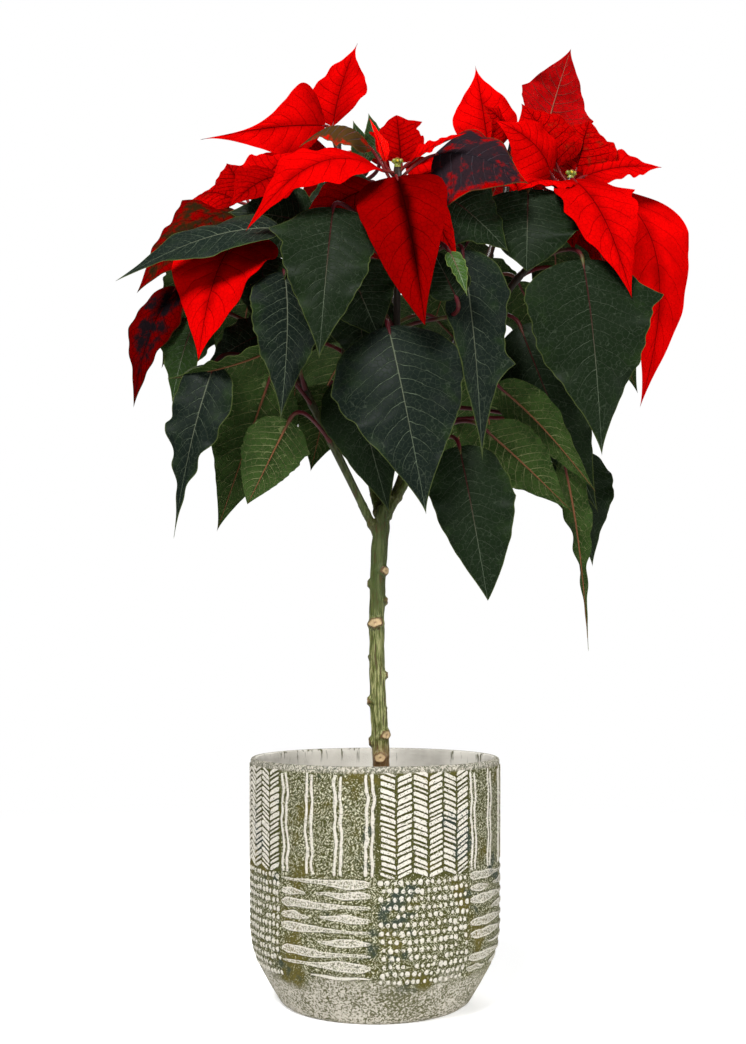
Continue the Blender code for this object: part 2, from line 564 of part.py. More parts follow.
def settle(blades):
    """Turns each blade about its base, as little as it can, until it is clear of every
    stalk and of the blades before it. Blades of one node may touch near their stalks."""
    rods = [(b.node, index, rod_tree(stalk_path(b), b.stalk + BLADE_CLEARANCE))
            for index, b in enumerate(blades)]
    rods += stem_rods()
    placed, settled = [], []
    for index, blade in enumerate(blades):
        chosen = settled_place(blade, index, rods, placed)
        if chosen is None:
            print("left out, no room:", blade.node, index)
            continue
        settled.append(chosen[0])
        placed.append((blade.node, chosen[1], chosen[2]))
    return settled


# Solids

def collection(name):
    """The collection of this name, put in the scene the first time."""
    found = bpy.data.collections.get(name)
    if not found:
        found = bpy.data.collections.new(name)
        bpy.context.scene.collection.children.link(found)
    return found


def new_object(name, mesh):
    obj = bpy.data.objects.new(name, mesh)
    collection(PARTS).objects.link(obj)
    return obj


def evaluated_mesh(obj):
    graph = bpy.context.evaluated_depsgraph_get()
    return bpy.data.meshes.new_from_object(obj.evaluated_get(graph))


def tube(name, path, radii, resolution):
    """A closed tube mesh along a path, with a radius at each point."""
    curve = bpy.data.curves.new(name, "CURVE")
    curve.dimensions = "3D"
    curve.bevel_depth = 1.0
    curve.bevel_resolution = resolution
    curve.use_fill_caps = True
    spline = curve.splines.new("POLY")
    spline.points.add(len(path) - 1)
    for point, place, radius in zip(spline.points, path, radii):
        point.co = (*place, 1)
        point.radius = radius
    guide = new_object(name + "_guide", curve)
    mesh = evaluated_mesh(guide)
    bpy.data.objects.remove(guide)
    bm = bmesh.new()
    bm.from_mesh(mesh)
    bmesh.ops.remove_doubles(bm, verts=bm.verts, dist=0.01 * MM)
    bmesh.ops.recalc_face_normals(bm, faces=bm.faces)
    bm.to_mesh(mesh)
    bm.free()
    return new_object(name, mesh)


def blade_object(name, blade):
    points, faces = blade_shell(blade, BLADE_THICKNESS)
    mesh = bpy.data.meshes.new(name)
    mesh.from_pydata([tuple(p) for p in points], [], faces)
    return new_object(name, mesh)


def ball(name, centre, size, axis, around=5, rings=3):
    """A faceted ball, stretched to a size in each direction and turned to an axis."""
    mesh = bpy.data.meshes.new(name)
    bm = bmesh.new()
    bmesh.ops.create_uvsphere(bm, u_segments=around, v_segments=rings, radius=1.0)
    bmesh.ops.scale(bm, vec=size, verts=bm.verts)
    turn = axis.to_track_quat("Z", "X").to_matrix().to_4x4()
    bmesh.ops.transform(bm, matrix=Matrix.Translation(centre) @ turn, verts=bm.verts)
    bm.to_mesh(mesh)
    bm.free()
    return new_object(name, mesh)


def fuse(body, others):
    """Joins all the other objects to a body with one Boolean union, and applies it."""
    group = bpy.data.collections.new(body.name + "_pieces")
    for other in others:
        collection(PARTS).objects.unlink(other)
        group.objects.link(other)
    union = body.modifiers.new("union", "BOOLEAN")
    union.operation = "UNION"
    union.operand_type = "COLLECTION"
    union.collection = group
    union.solver = "MANIFOLD"
    joined = evaluated_mesh(body)
    body.modifiers.remove(union)
    body.data = joined
    for other in others:
        bpy.data.objects.remove(other)
    bpy.data.collections.remove(group)


def turned_solid(name, profile, sides):
    """A solid of revolution about +Z from (radius, height) points."""
    mesh = bpy.data.meshes.new(name)
    edges = [(k, k + 1) for k in range(len(profile) - 1)]
    mesh.from_pydata([(r, 0, z) for r, z in profile], edges, [])
    obj = new_object(name, mesh)
    screw = obj.modifiers.new("turn", "SCREW")
    screw.steps = screw.render_steps = sides
    screw.use_merge_vertices = True
    screw.merge_threshold = 0.0001
    return obj


def inner_profile(slack, floor):
    """The pot's inner face from the straight wall down to the floor, moved in by slack."""
    inner = POT_RADIUS - POT_WALL - slack
    return ((inner, POT_SHOULDER + 12 * MM), (inner - 4 * MM, POT_SHOULDER - 6 * MM),
            (POT_FOOT_RADIUS - 1.6 * POT_WALL - slack, floor), (0, floor))


def make_pot():
    top, inner = POT_HEIGHT, POT_RADIUS - POT_WALL
    outer = ((inner, top - 2.5 * MM), (inner + 0.4 * POT_WALL, top),
             (POT_RADIUS - 1.2 * MM, top - 0.6 * MM), (POT_RADIUS, top - 4 * MM),
             (POT_RADIUS, POT_SHOULDER + 14 * MM), (POT_RADIUS - 1.8 * MM, POT_SHOULDER),
             (POT_RADIUS - 6 * MM, 0.7 * POT_SHOULDER), (POT_FOOT_RADIUS + 2.2 * MM, 2.6 * MM),
             (POT_FOOT_RADIUS - 1.5 * MM, 0), (0, 0))
    return turned_solid("pot", inner_profile(0, POT_FLOOR)[::-1] + outer, POT_SIDES)


def make_soil():
    """Fills the pot, clear of its wall, with a plain round hole for the trunk."""
    inner = POT_RADIUS - POT_WALL - SOIL_SLACK
    mound = ((0, SOIL_TOP + SOIL_MOUND), (0.35 * inner, SOIL_TOP + 0.8 * SOIL_MOUND),
             (0.75 * inner, SOIL_TOP + 0.2 * SOIL_MOUND), (inner, SOIL_TOP))
    profile = mound + inner_profile(SOIL_SLACK, POT_FLOOR + GAP)
    soil = turned_solid("soil", profile, SOIL_SIDES)
    foot = Vector(TRUNK[0][0]) * MM
    bpy.ops.mesh.primitive_cylinder_add(vertices=HOLE_SIDES, radius=TRUNK_RADIUS + HOLE_SLACK,
                                        depth=2 * ROOT_DEPTH, location=(foot.x, foot.y, SOIL_TOP))
    cutter = bpy.context.object
    cutter.name = "trunk_hole"
    cutter.hide_render = True
    cutter.display_type = "WIRE"
    for holder in cutter.users_collection:
        holder.objects.unlink(cutter)
    collection(CUTTERS).objects.link(cutter)
    hole = soil.modifiers.new("trunk_hole", "BOOLEAN")
    hole.operation = "DIFFERENCE"
    hole.object = cutter
    return soil


def make_trunk():
    """The trunk with its leaf scars and the stubs of its six forks, grown as one."""
    path = [Vector(p) * MM for p, _ in TRUNK]
    trunk = tube("trunk", path, [share * TRUNK_RADIUS for _, share in TRUNK], TRUNK_DETAIL)
    others = []
    for stem, stem_path in STEM_PATHS.items():
        stub = path_piece(stem_path, 0, STUB_LENGTH, 2)
        others.append(tube("stub_" + stem, stub, [STEM_RADIUS_LOW] * len(stub), STEM_DETAIL))
    for number, (height, turn, radius) in enumerate(SCARS):
        out = Vector((math.cos(math.radians(turn)), math.sin(math.radians(turn)), 0))
        low, high = next((a, b) for a, b in zip(path, path[1:]) if a.z <= height * MM < b.z)
        middle = low.lerp(high, (height * MM - low.z) / (high.z - low.z))
        size = (radius * MM, 0.8 * radius * MM, SCAR_DEPTH)
        others.append(ball(f"scar_{number}", middle + out * (TRUNK_RADIUS - SCAR_SUNK), size, out))
    fuse(trunk, others)
    return trunk


def make_leafy_stem(stem, blades):
    path = STEM_PATHS[stem]
    start, end = STUB_LENGTH + GAP, path_length(path) - CROWN_LENGTH - GAP
    points = path_piece(path, start, end, STEM_PIECES)
    thinning = (STEM_RADIUS_TOP - STEM_RADIUS_LOW) / (len(points) - 1)
    radii = [STEM_RADIUS_LOW + thinning * k for k in range(len(points))]
    body = tube("leafy_stem_" + stem, points, radii, STEM_DETAIL)
    fuse(body, [blade_object(f"leaf_{number}", blade) for number, blade in enumerate(blades)])
    return body


def make_bloom(stem, blades):
    path = STEM_PATHS[stem]
    length = path_length(path)
    points = path_piece(path, length - CROWN_LENGTH, length, 2)
    body = tube("bloom_" + stem, points, [CROWN_RADIUS] * len(points), STEM_DETAIL)
    fuse(body, [blade_object(f"bract_{number}", blade) for number, blade in enumerate(blades)])
    return body


def make_flowers(stem):
    """The true flowers: a small cluster of green cups on the end of the stem."""
    path = STEM_PATHS[stem]
    up = (path[-1] - path[-4]).normalized()
    foot = path[-1] + up * GAP
    height, low, high = FLOWER_FOOT
    body = tube("flowers_" + stem, [foot, foot + up * height], [low, high], STEM_DETAIL)
    leans = [up]
    for number in range(CUPS_AROUND):
        turn = 2 * math.pi * number / CUPS_AROUND
        leans.append((up + Vector((math.cos(turn), math.sin(turn), 0)) * CUP_LEAN).normalized())
    others = [ball(f"cup_{number}", foot + up * (height - 1 * MM) + lean * CUP_SIZE[2], CUP_SIZE, lean)
              for number, lean in enumerate(leans)]
    fuse(body, others)
    return body


def finish(obj, colour):
    tone, roughness = COLOURS[colour]
    material = bpy.data.materials.get(colour) or bpy.data.materials.new(colour)
    material.use_nodes = True
    shader = material.node_tree.nodes["Principled BSDF"]
    shader.inputs["Base Color"].default_value = tone
    shader.inputs["Roughness"].default_value = roughness
    shader.inputs["Metallic"].default_value = 0
    obj.data.materials.clear()
    obj.data.materials.append(material)
    obj.data.shade_smooth()
    obj.data.set_sharp_from_angle(angle=math.radians(50))


def main():
    for obj in list(bpy.data.objects):
        bpy.data.objects.remove(obj)
    blades = settle(seen_blades() + back_blades())
    finish(make_pot(), "cement")
    finish(make_soil(), "soil")
    finish(make_trunk(), "bark")
    for stem in STEMS:
        leaves = [b for b in blades if b.node == "leafy_stem_" + stem]
        bracts = [b for b in blades if b.node == "bloom_" + stem]
        finish(make_leafy_stem(stem, leaves), "leaf")
        finish(make_bloom(stem, bracts), "bract")
        finish(make_flowers(stem), "flower")


main()
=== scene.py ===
# The looks of a poinsettia grown on a bare trunk, in a patterned pot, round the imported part.
# Rows of blades, stems and figures are in millimetres and degrees. Everything is drawn in
# metres, +Z up, and -Y is the side that the photograph shows.

import json
import math
import random
from dataclasses import dataclass, replace

import bpy
import numpy as np
from mathutils import Matrix, Vector, noise
from mathutils.bvhtree import BVHTree

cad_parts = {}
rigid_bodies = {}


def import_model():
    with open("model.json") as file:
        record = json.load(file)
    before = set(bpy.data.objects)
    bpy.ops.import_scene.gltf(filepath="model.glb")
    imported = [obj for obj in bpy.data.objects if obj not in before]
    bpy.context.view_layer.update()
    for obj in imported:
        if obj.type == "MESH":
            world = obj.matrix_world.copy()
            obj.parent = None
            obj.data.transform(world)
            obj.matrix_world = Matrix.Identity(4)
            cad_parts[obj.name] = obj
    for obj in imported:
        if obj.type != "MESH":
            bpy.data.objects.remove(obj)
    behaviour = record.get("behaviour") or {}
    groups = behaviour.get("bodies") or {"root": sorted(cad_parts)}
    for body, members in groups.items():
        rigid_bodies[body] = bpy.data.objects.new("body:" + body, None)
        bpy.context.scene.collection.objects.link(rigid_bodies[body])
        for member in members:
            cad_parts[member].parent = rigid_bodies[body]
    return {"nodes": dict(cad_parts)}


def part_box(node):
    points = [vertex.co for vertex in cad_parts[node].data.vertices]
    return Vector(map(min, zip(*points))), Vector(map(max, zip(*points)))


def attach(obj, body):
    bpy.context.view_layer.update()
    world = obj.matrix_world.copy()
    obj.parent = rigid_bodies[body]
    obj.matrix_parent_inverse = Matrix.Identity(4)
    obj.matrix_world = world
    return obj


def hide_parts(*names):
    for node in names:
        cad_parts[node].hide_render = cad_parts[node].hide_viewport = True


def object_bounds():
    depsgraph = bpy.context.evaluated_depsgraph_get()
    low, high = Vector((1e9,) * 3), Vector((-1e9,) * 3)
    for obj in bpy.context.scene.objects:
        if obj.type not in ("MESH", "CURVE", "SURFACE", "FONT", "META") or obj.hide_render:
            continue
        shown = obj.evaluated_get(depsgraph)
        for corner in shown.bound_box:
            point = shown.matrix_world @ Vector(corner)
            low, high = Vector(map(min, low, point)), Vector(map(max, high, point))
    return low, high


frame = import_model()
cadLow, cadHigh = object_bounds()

mm = 0.001
up = Vector((0, 0, 1))
for item in [o for o in bpy.data.objects if o.name in ("Cube", "Light", "Camera")]:
    bpy.data.objects.remove(item)
print("frame loaded:", len(frame["nodes"]), "nodes")


# Plant's plan

stemPlan = {
    "left": ((3, 0, 350), (-4, -3, 364), (-27, -10, 410), (-54, -19, 463),
             (-74, -24, 515), (-86, -24, 560), (-90, -22, 602)),
    "front": ((7, 0, 366), (11, -2, 400), (14, -14, 450), (16, -32, 510),
              (16, -50, 560), (16, -60, 610)),
    "right": ((7, 0, 364), (23, -1, 392), (48, -2, 438), (76, -4, 497),
              (103, -6, 540), (126, -8, 565), (141, -9, 592), (147, -10, 620)),
    "back_left": ((5, 2, 360), (-4, 18, 400), (-18, 33, 460), (-27, 43, 540),
                  (-31, 48, 610), (-29, 47, 668)),
    "back_right": ((9, 2, 366), (26, 26, 415), (54, 50, 490), (84, 64, 560),
                   (104, 70, 625), (112, 72, 680)),
    "back": ((5, 5, 358), (4, 30, 410), (10, 66, 480), (15, 92, 545),
             (18, 108, 595), (18, 114, 636)),
}

# Outline of a blade: how fast each edge widens, how fast it narrows and its size, then its
# teeth as (1 for left or -1 for right, place, reach), and its twist in radians.
bladeForms = {
    "leaf": ((0.52, 1.45, 1.0), (0.52, 1.45, 1.0), (), 0.0),
    "lobed": ((0.50, 1.40, 0.95), (0.50, 1.40, 0.95), ((1, 0.22, 0.22), (-1, 0.22, 0.20)), 0.0),
    "shouldered": ((0.45, 1.15, 0.9), (0.45, 0.95, 1.0), ((1, 0.22, 0.2), (-1, 0.38, 0.08)), 0.0),
    "toothed": ((0.48, 1.45, 1.0), (0.50, 1.50, 0.95), ((-1, 0.22, 0.25), (-1, 0.57, 0.05)), 0.0),
    "hooked": ((0.50, 1.60, 0.7), (0.50, 1.55, 1.0), ((-1, 0.22, 0.15), (-1, 0.57, 0.35)), 0.0),
    "tailed": ((0.55, 1.95, 1.0), (0.55, 1.95, 1.0), ((1, 0.38, 0.15),), 0.7),
    "bract": ((0.66, 1.50, 1.0), (0.66, 1.50, 1.0), (), 0.0),
    "heart": ((0.36, 0.95, 1.0), (0.30, 1.35, 0.95), (), 0.0),
    "swept": ((1.0, 2.2, 1.0), (1.0, 2.2, 1.0), (), 0.0),
    "trailing": ((0.6, 4.2, 1.0), (1.2, 2.2, 0.65), (), 0.0),
    "cornered": ((0.55, 1.45, 0.95), (0.55, 1.45, 0.95), ((-1, 0.22, 0.30), (1, 0.38, 0.12)), 0.0),
    "ragged": ((0.50, 0.90, 0.9), (0.50, 0.90, 0.9), ((-1, 0.50, 0.35), (1, 0.76, 0.45)), 0.0),
}

# Each row: stem, height where the stalk leaves it, blade's base, its tip, where the upper
# face looks, width, arch, cup, form, tint.
seenLeaves = (
    ("front", 550, (-29, -88, 572), (-38, -112, 461), (0.0, -1.0, 0.1), 70, 0.08, 0.10, "lobed", "dark"),
    ("front", 546, (-67, -72, 563), (-182, -92, 526), (0.0, -0.50, 0.85), 50, 0.08, 0.10, "leaf", "grey"),
    ("front", 470, (9, -80, 492), (35, -98, 358), (0.0, -1.0, 0.1), 92, 0.08, -0.08, "leaf", "blue"),
    ("front", 536, (62, -64, 550), (75, -80, 397), (0.2, -1.0, 0.1), 56, 0.05, 0.20, "hooked", "blue"),
    ("right", 556, (149, -55, 546), (160, -72, 402), (0.05, -1.0, 0.15), 92, 0.06, 0.05, "toothed", "dark"),
    ("right", 404, (60, -60, 411), (80, -66, 300), (0.0, -1.0, 0.1), 62, 0.06, 0.12, "shouldered", "dark"),
    ("left", 463, (-114, -68, 467), (-143, -66, 344), (-0.1, -0.95, 0.25), 46, 0.08, 0.20, "tailed", "blue"),
    ("left", 500, (-64, -72, 532), (-66, -84, 425), (0.35, -0.9, 0.2), 52, 0.10, -0.10, "leaf", "blue"),
    ("front", 500, (-20, -64, 540), (4, -68, 486), (0.0, -1.0, 0.1), 62, 0.05, -0.05, "lobed", "dark"),
    ("left", 456, (-70, -76, 478), (-148, -64, 458), (0.0, 0.35, 0.9), 34, -0.05, -0.10, "leaf", "olive"),
    ("left", 448, (-75, -50, 464), (-116, -36, 352), (-0.1, 0.95, 0.2), 60, 0.05, 0.10, "leaf", "dark"),
    ("left", 421, (-61, -66, 428), (-91, -62, 369), (0.0, 0.9, 0.3), 46, 0.05, 0.10, "shouldered", "dark"),
    ("right", 430, (79, -50, 425), (144, -40, 366), (0.0, 0.85, 0.5), 46, 0.05, 0.05, "leaf", "dark"),
    ("right", 474, (88, -46, 458), (160, -46, 380), (0.3, 0.8, 0.5), 36, 0.08, 0.25, "leaf", "olive"),
    ("right", 452, (138, -34, 408), (158, -26, 264), (0.5, 0.8, 0.1), 25, 0.06, 0.30, "tailed", "olive"),
    ("right", 520, (108, -20, 507), (169, -20, 368), (-0.2, -0.9, 0.3), 66, 0.10, 0.05, "lobed", "dark"),
    ("front", 440, (-16, -36, 470), (11, -36, 364), (-0.2, -0.95, 0.0), 62, 0.06, 0.05, "leaf", "dark"),
    ("right", 572, (112, -38, 602), (109, -52, 538), (-0.1, -0.9, 0.4), 84, 0.06, 0.05, "shouldered", "dark"),
    ("front", 566, (48, -58, 592), (100, -56, 556), (0.0, -0.85, 0.5), 68, 0.06, 0.05, "leaf", "dark"),
    ("front", 500, (56, -92, 508), (41, -92, 547), (0.0, -1.0, 0.1), 32, 0.04, 0.05, "leaf", "dark"),
    ("front", 544, (51, -98, 538), (63, -100, 507), (0.3, -0.9, 0.2), 15, 0.05, 0.35, "leaf", "young"),
    ("left", 505, (-80, -60, 546), (-77, -64, 486), (-0.5, -0.8, 0.2), 42, 0.05, 0.20, "leaf", "dark"),
    ("left", 484, (-72, -48, 497), (-128, -44, 470), (0.0, -0.9, 0.4), 46, 0.08, 0.05, "leaf", "dark"),
    ("left", 492, (-132, -26, 512), (-150, -28, 448), (-0.3, -0.9, 0.3), 42, 0.06, 0.05, "leaf", "olive"),
    ("back_left", 440, (-34, 8, 468), (-49, 0, 401), (0.0, 0.9, 0.2), 46, 0.05, 0.05, "leaf", "dark"),
    ("back_left", 620, (3, 4, 640), (-5, 4, 675), (0.2, -0.9, 0.3), 22, 0.03, 0.30, "leaf", "olive"),
    ("back_left", 628, (-6, 14, 640), (-17, 12, 673), (-0.2, -0.9, 0.3), 18, 0.03, 0.30, "leaf", "olive"),
    ("back_right", 440, (152, 14, 420), (166, 4, 329), (0.2, -0.9, 0.2), 50, 0.08, 0.10, "leaf", "dark"),
    ("back_left", 596, (-4, 2, 622), (-56, -4, 600), (0.0, -0.85, 0.5), 46, 0.08, 0.05, "leaf", "dark"),
    ("left", 552, (-46, -36, 577), (-108, -30, 586), (0.0, -0.9, 0.4), 58, 0.08, 0.05, "leaf", "dark"),
    ("back_left", 500, (-14, 6, 540), (-6, 0, 470), (0.0, -0.95, 0.2), 54, 0.05, 0.05, "leaf", "dark"),
    ("front", 556, (-8, -48, 586), (-58, -42, 572), (0.0, -0.9, 0.4), 44, 0.06, 0.05, "leaf", "dark"),
)
seenBracts = (
    ("front", 602, (15, -75, 598), (34, -108, 485), (0.0, -1.0, 0.25), 66, 0.15, 0.08, "heart", "shadedFold"),
    ("front", 604, (4, -66, 606), (-90, -88, 555), (-0.1, -0.7, 0.7), 58, 0.22, 0.12, "bract", "fresh"),
    ("right", 610, (147, -25, 614), (182, -68, 514), (0.2, -0.85, 0.45), 62, 0.10, 0.15, "cornered", "fresh"),
    ("right", 602, (180, 24, 626), (205, 18, 453), (0.45, -0.85, 0.25), 84, 0.24, 0.05, "leaf", "bright"),
    ("left", 582, (-97, -38, 568), (-124, -76, 462), (-0.15, -0.95, 0.2), 78, 0.12, 0.05, "leaf", "fresh"),
    ("back_left", 658, (-38, 26, 674), (-132, -8, 650), (0.1, -1.0, -0.1), 66, 0.10, 0.12,
     "trailing", "bright"),
    ("back_left", 656, (-34, 62, 688), (-14, 72, 760), (-0.55, -0.85, 0.1), 64, 0.05, 0.35, "swept", "fresh"),
    ("back_right", 672, (138, 56, 684), (158, 60, 750), (0.0, 0.8, 0.5), 58, 0.05, -0.10,
     "cornered", "netted"),
    ("back_right", 664, (92, 62, 668), (82, 76, 744), (0.0, -0.95, 0.2), 54, 0.04, 0.10, "swept", "bright"),
    ("right", 612, (158, -3, 624), (220, 8, 635), (0.0, -0.8, 0.6), 38, 0.07, 0.15, "bract", "fresh"),
    ("right", 612, (132, -15, 621), (88, -30, 656), (-0.2, -0.8, 0.6), 58, 0.16, -0.05, "leaf", "fresh"),
    ("right", 614, (138, -6, 630), (112, 8, 684), (0.0, -0.85, 0.5), 60, 0.12, -0.05, "leaf", "netted"),
    ("right", 614, (153, 3, 630), (167, 24, 678), (0.0, -0.95, 0.3), 56, 0.12, 0.10, "leaf", "netted"),
    ("right", 606, (138, -20, 606), (146, -34, 558), (0.0, -1.0, 0.1), 38, 0.08, 0.10, "bract", "deep"),
    ("right", 608, (132, -18, 613), (98, -44, 594), (-0.1, -0.8, 0.6), 50, 0.10, 0.10, "leaf", "fresh"),
    ("front", 598, (42, -56, 620), (109, -66, 596), (0.0, -0.9, 0.45), 80, 0.14, -0.15, "leaf", "slate"),
    ("front", 600, (19, -44, 619), (16, -24, 662), (0.0, -0.8, 0.6), 40, 0.05, 0.15, "ragged", "deep"),
    ("front", 606, (24, -63, 612), (66, -76, 624), (0.0, -0.6, 0.8), 22, 0.05, 0.25, "bract", "fresh"),
    ("front", 598, (7, -58, 614), (-4, -60, 645), (0.6, -0.6, 0.3), 12, 0.04, 0.40, "bract", "young"),
    ("front", 598, (27, -50, 605), (76, -14, 622), (0.0, -0.7, 0.7), 48, 0.10, 0.10, "bract", "fresh"),
    ("front", 590, (30, -72, 588), (53, -78, 532), (0.1, -1.0, 0.1), 24, 0.08, 0.15, "bract", "fresh"),
    ("front", 592, (-2, -40, 630), (-56, -34, 634), (0.1, -0.6, 0.8), 42, 0.30, -0.25, "leaf", "tawny"),
    ("left", 586, (-103, -22, 592), (-175, -34, 527), (-0.3, -0.85, 0.4), 66, 0.14, -0.05, "lobed", "maroon"),
    ("left", 594, (-102, -18, 600), (-147, 14, 607), (-0.2, -0.65, 0.7), 50, 0.16, -0.05, "ragged", "netted"),
    ("left", 586, (-98, -10, 608), (-113, 2, 636), (-0.3, -0.8, 0.5), 44, 0.08, 0.10, "leaf", "deep"),
    ("left", 582, (-66, -36, 612), (-104, -60, 582), (-0.2, -0.85, 0.4), 50, 0.12, 0.10, "bract", "deep"),
    ("left", 578, (-148, -16, 537), (-182, -8, 448), (-0.5, -0.8, 0.2), 44, 0.10, 0.10, "leaf", "mottled"),
    ("back_left", 650, (-28, 30, 648), (-106, 14, 630), (0.0, -0.8, 0.6), 52, 0.10, 0.10, "bract", "deep"),
    ("back_right", 658, (108, 50, 676), (84, 34, 694), (0.0, -0.8, 0.6), 44, 0.10, -0.15, "leaf", "netted"),
    ("left", 590, (-86, -14, 612), (-62, 6, 646), (0.1, -0.8, 0.5), 46, 0.10, 0.05, "leaf", "fresh"),
    ("right", 606, (128, -6, 614), (84, 2, 630), (-0.1, -0.8, 0.6), 48, 0.12, 0.05, "leaf", "fresh"),
    ("front", 596, (0, -56, 598), (-62, -56, 562), (0.0, -0.95, 0.2), 34, 0.10, 0.05, "bract", "deep"),
)

# Blades behind. Each row: stem, height on it, direction (90 is the back), pitch, length.
backLeaves = (
    ("left", 478, 125, -62, 118), ("left", 540, 105, -38, 122), ("left", 552, 135, -44, 104),
    ("right", 476, 70, -60, 120), ("right", 545, 40, -42, 124), ("right", 580, 85, -34, 110),
    ("back_left", 500, 140, -40, 112), ("back_left", 545, 110, -46, 128),
    ("back_left", 590, 165, -32, 118), ("back_right", 500, 80, -64, 126),
    ("back_right", 560, 45, -50, 130), ("back_right", 600, 110, -40, 120),
    ("back", 500, 70, -60, 116), ("back", 512, 125, -46, 126), ("back", 535, 40, -50, 126),
    ("back", 560, 92, -44, 128), ("back", 588, 160, -34, 108), ("back", 580, 15, -36, 104),
)
backBracts = (
    ("left", 580, 120, -22, 92), ("left", 586, 75, -12, 84),
    ("right", 600, 60, -26, 98), ("right", 606, 34, -34, 88), ("right", 610, 100, 8, 72),
    ("front", 600, 95, -6, 70),
    ("back_left", 650, 95, -30, 104), ("back_left", 656, 150, -12, 86), ("back_left", 660, 60, 6, 74),
    ("back_right", 660, 100, -28, 104), ("back_right", 664, 30, -20, 92), ("back_right", 668, 65, 10, 76),
    ("back", 620, 45, -30, 106), ("back", 622, 135, -28, 106), ("back", 624, 90, -18, 100),
    ("back", 626, 0, -10, 84), ("back", 627, 112, 14, 72), ("back", 628, 66, 18, 66),
)

# What a blade is made to: the plain solid's sizes, which the settling below works with.
bladePlan = {
    "thickness": 0.8 * mm, "clearance": 0.7 * mm, "broad": 50 * mm,
    "broadStations": (0.07, 0.22, 0.38, 0.57, 0.79), "slimStations": (0.09, 0.27, 0.50, 0.76),
    "toothSpan": 0.09, "ripple": 0.16, "droop": -0.10, "stalkRise": 0.35, "inLine": 0.06,
    "leaving": 0.36, "arriving": 0.30, "frameStep": 0.01,
    "longStalk": 45 * mm, "leafStalk": 1.5 * mm, "bractStalk": 1.2 * mm,
    "backLeafStalk": 50, "backBractStalk": 15,
    "stemRadius": 3.7 * mm, "stub": 36 * mm, "crown": 28 * mm, "endStep": 1 * mm,
    "flowerHeight": 8.5 * mm, "flowerRadius": 3.0 * mm,
}

# Turns that a blade tries until it is clear of the others, in degrees, and sizes.
settlePlan = {
    "swings": (0, -5, 5, -10, 10, -15, 15, -21, 21, -28, 28, -36, 36),
    "tilts": (0, -6, 6, -13, 13, -21, 21),
    "rolls": (0, -12, 12, -26, 26),
    "sizes": (1.0, 0.86, 0.72, 0.58),
    "leastSize": 0.8,
}


@dataclass
class Blade:
    node: str
    stem: str
    leavesAt: float
    base: Vector
    reach: Vector
    face: Vector
    width: float
    arch: float
    cup: float
    form: str
    stalk: float
    wave: float
    tint: str


# Paths

def smoothPath(points, steps=10):
    knots = [Vector(p) * mm for p in points]
    knots = [2 * knots[0] - knots[1]] + knots + [2 * knots[-1] - knots[-2]]
    path = []
    for a, b, c, d in zip(knots, knots[1:], knots[2:], knots[3:]):
        for k in range(steps):
            t = k / steps
            path.append(0.5 * (2 * b + (c - a) * t + (2 * a - 5 * b + 4 * c - d) * t * t
                               + (3 * b - a - 3 * c + d) * t ** 3))
    return path + [knots[-2]]


def pathPoint(path, distance):
    for a, b in zip(path, path[1:]):
        step = (b - a).length
        if distance <= step:
            return a.lerp(b, distance / step)
        distance -= step
    return path[-1].copy()


def pathLength(path):
    return sum((b - a).length for a, b in zip(path, path[1:]))


def fullTurn(count):
    return [2 * math.pi * k / count for k in range(count)]


def pathPiece(path, start, end, pieces):
    step = bladePlan["endStep"]
    places = [start + (end - start) * k / pieces for k in range(pieces + 1)]
    places = [start, start + step] + places[1:-1] + [end - step, end]
    return [pathPoint(path, place) for place in places]


def pointAtHeight(path, height):
    return min(path, key=lambda p: abs(p.z - height))


stemPaths = {name: smoothPath(points) for name, points in stemPlan.items()}


# Blades as plain solids, the shapes that the settling compares

def halfWidth(blade, t, edge, sharp=1.0):
    left, right, teeth, _ = bladeForms[blade.form]
    rise, fall, size = left if edge > 0 else right
    widest = rise / (rise + fall)
    peak = widest ** rise * (1 - widest) ** fall
    share = size * t ** rise * (1 - t) ** fall / peak
    for toothEdge, place, reach in teeth:
        if toothEdge == edge:
            share += reach * max(0.0, 1 - abs(t - place) / bladePlan["toothSpan"]) ** sharp
    return blade.width / 2 * share


def midrib(blade, t):
    along = blade.reach.normalized()
    above = (blade.face - along * blade.face.dot(along)).normalized()
    bow = 4 * t * (1 - t) * (1.25 - 0.5 * t)
    return blade.base + blade.reach * t + above * (blade.arch * blade.reach.length * bow)


def bladeFrame(blade, t):
    low, high = max(t - bladePlan["frameStep"], 0), min(t + bladePlan["frameStep"], 1)
    along = (midrib(blade, high) - midrib(blade, low)).normalized()
    side = along.cross(blade.face).normalized()
    turn = Matrix.Rotation(bladeForms[blade.form][3] * t, 3, along)
    side = turn @ side
    return side, side.cross(along).normalized()


def curl(blade, t, across):
    # How far a blade droops and ripples towards its edge, as a share of its half width.
    wave = math.sin(3.0 * math.pi * t + blade.wave + (1.3 if across > 0 else 0))
    return (bladePlan["ripple"] * wave * math.sin(math.pi * t) + bladePlan["droop"]) * across * across


def bladePoint(blade, t, across):
    side, above = bladeFrame(blade, t)
    edge = 1 if across > 0 else -1
    span = halfWidth(blade, t, edge)
    slope = math.atan(blade.cup)
    out = span * abs(across)
    height = out * math.sin(slope) + span * curl(blade, t, across)
    return midrib(blade, t) + side * (edge * out * math.cos(slope)) + above * height


def gridNormals(grid):
    normals = []
    for i, row in enumerate(grid):
        before, after = grid[max(i - 1, 0)], grid[min(i + 1, len(grid) - 1)]
        normals.append([])
        for j in range(len(row)):
            across = row[min(j + 1, len(row) - 1)] - row[max(j - 1, 0)]
            normals[-1].append(across.cross(after[j] - before[j]).normalized())
    return normals


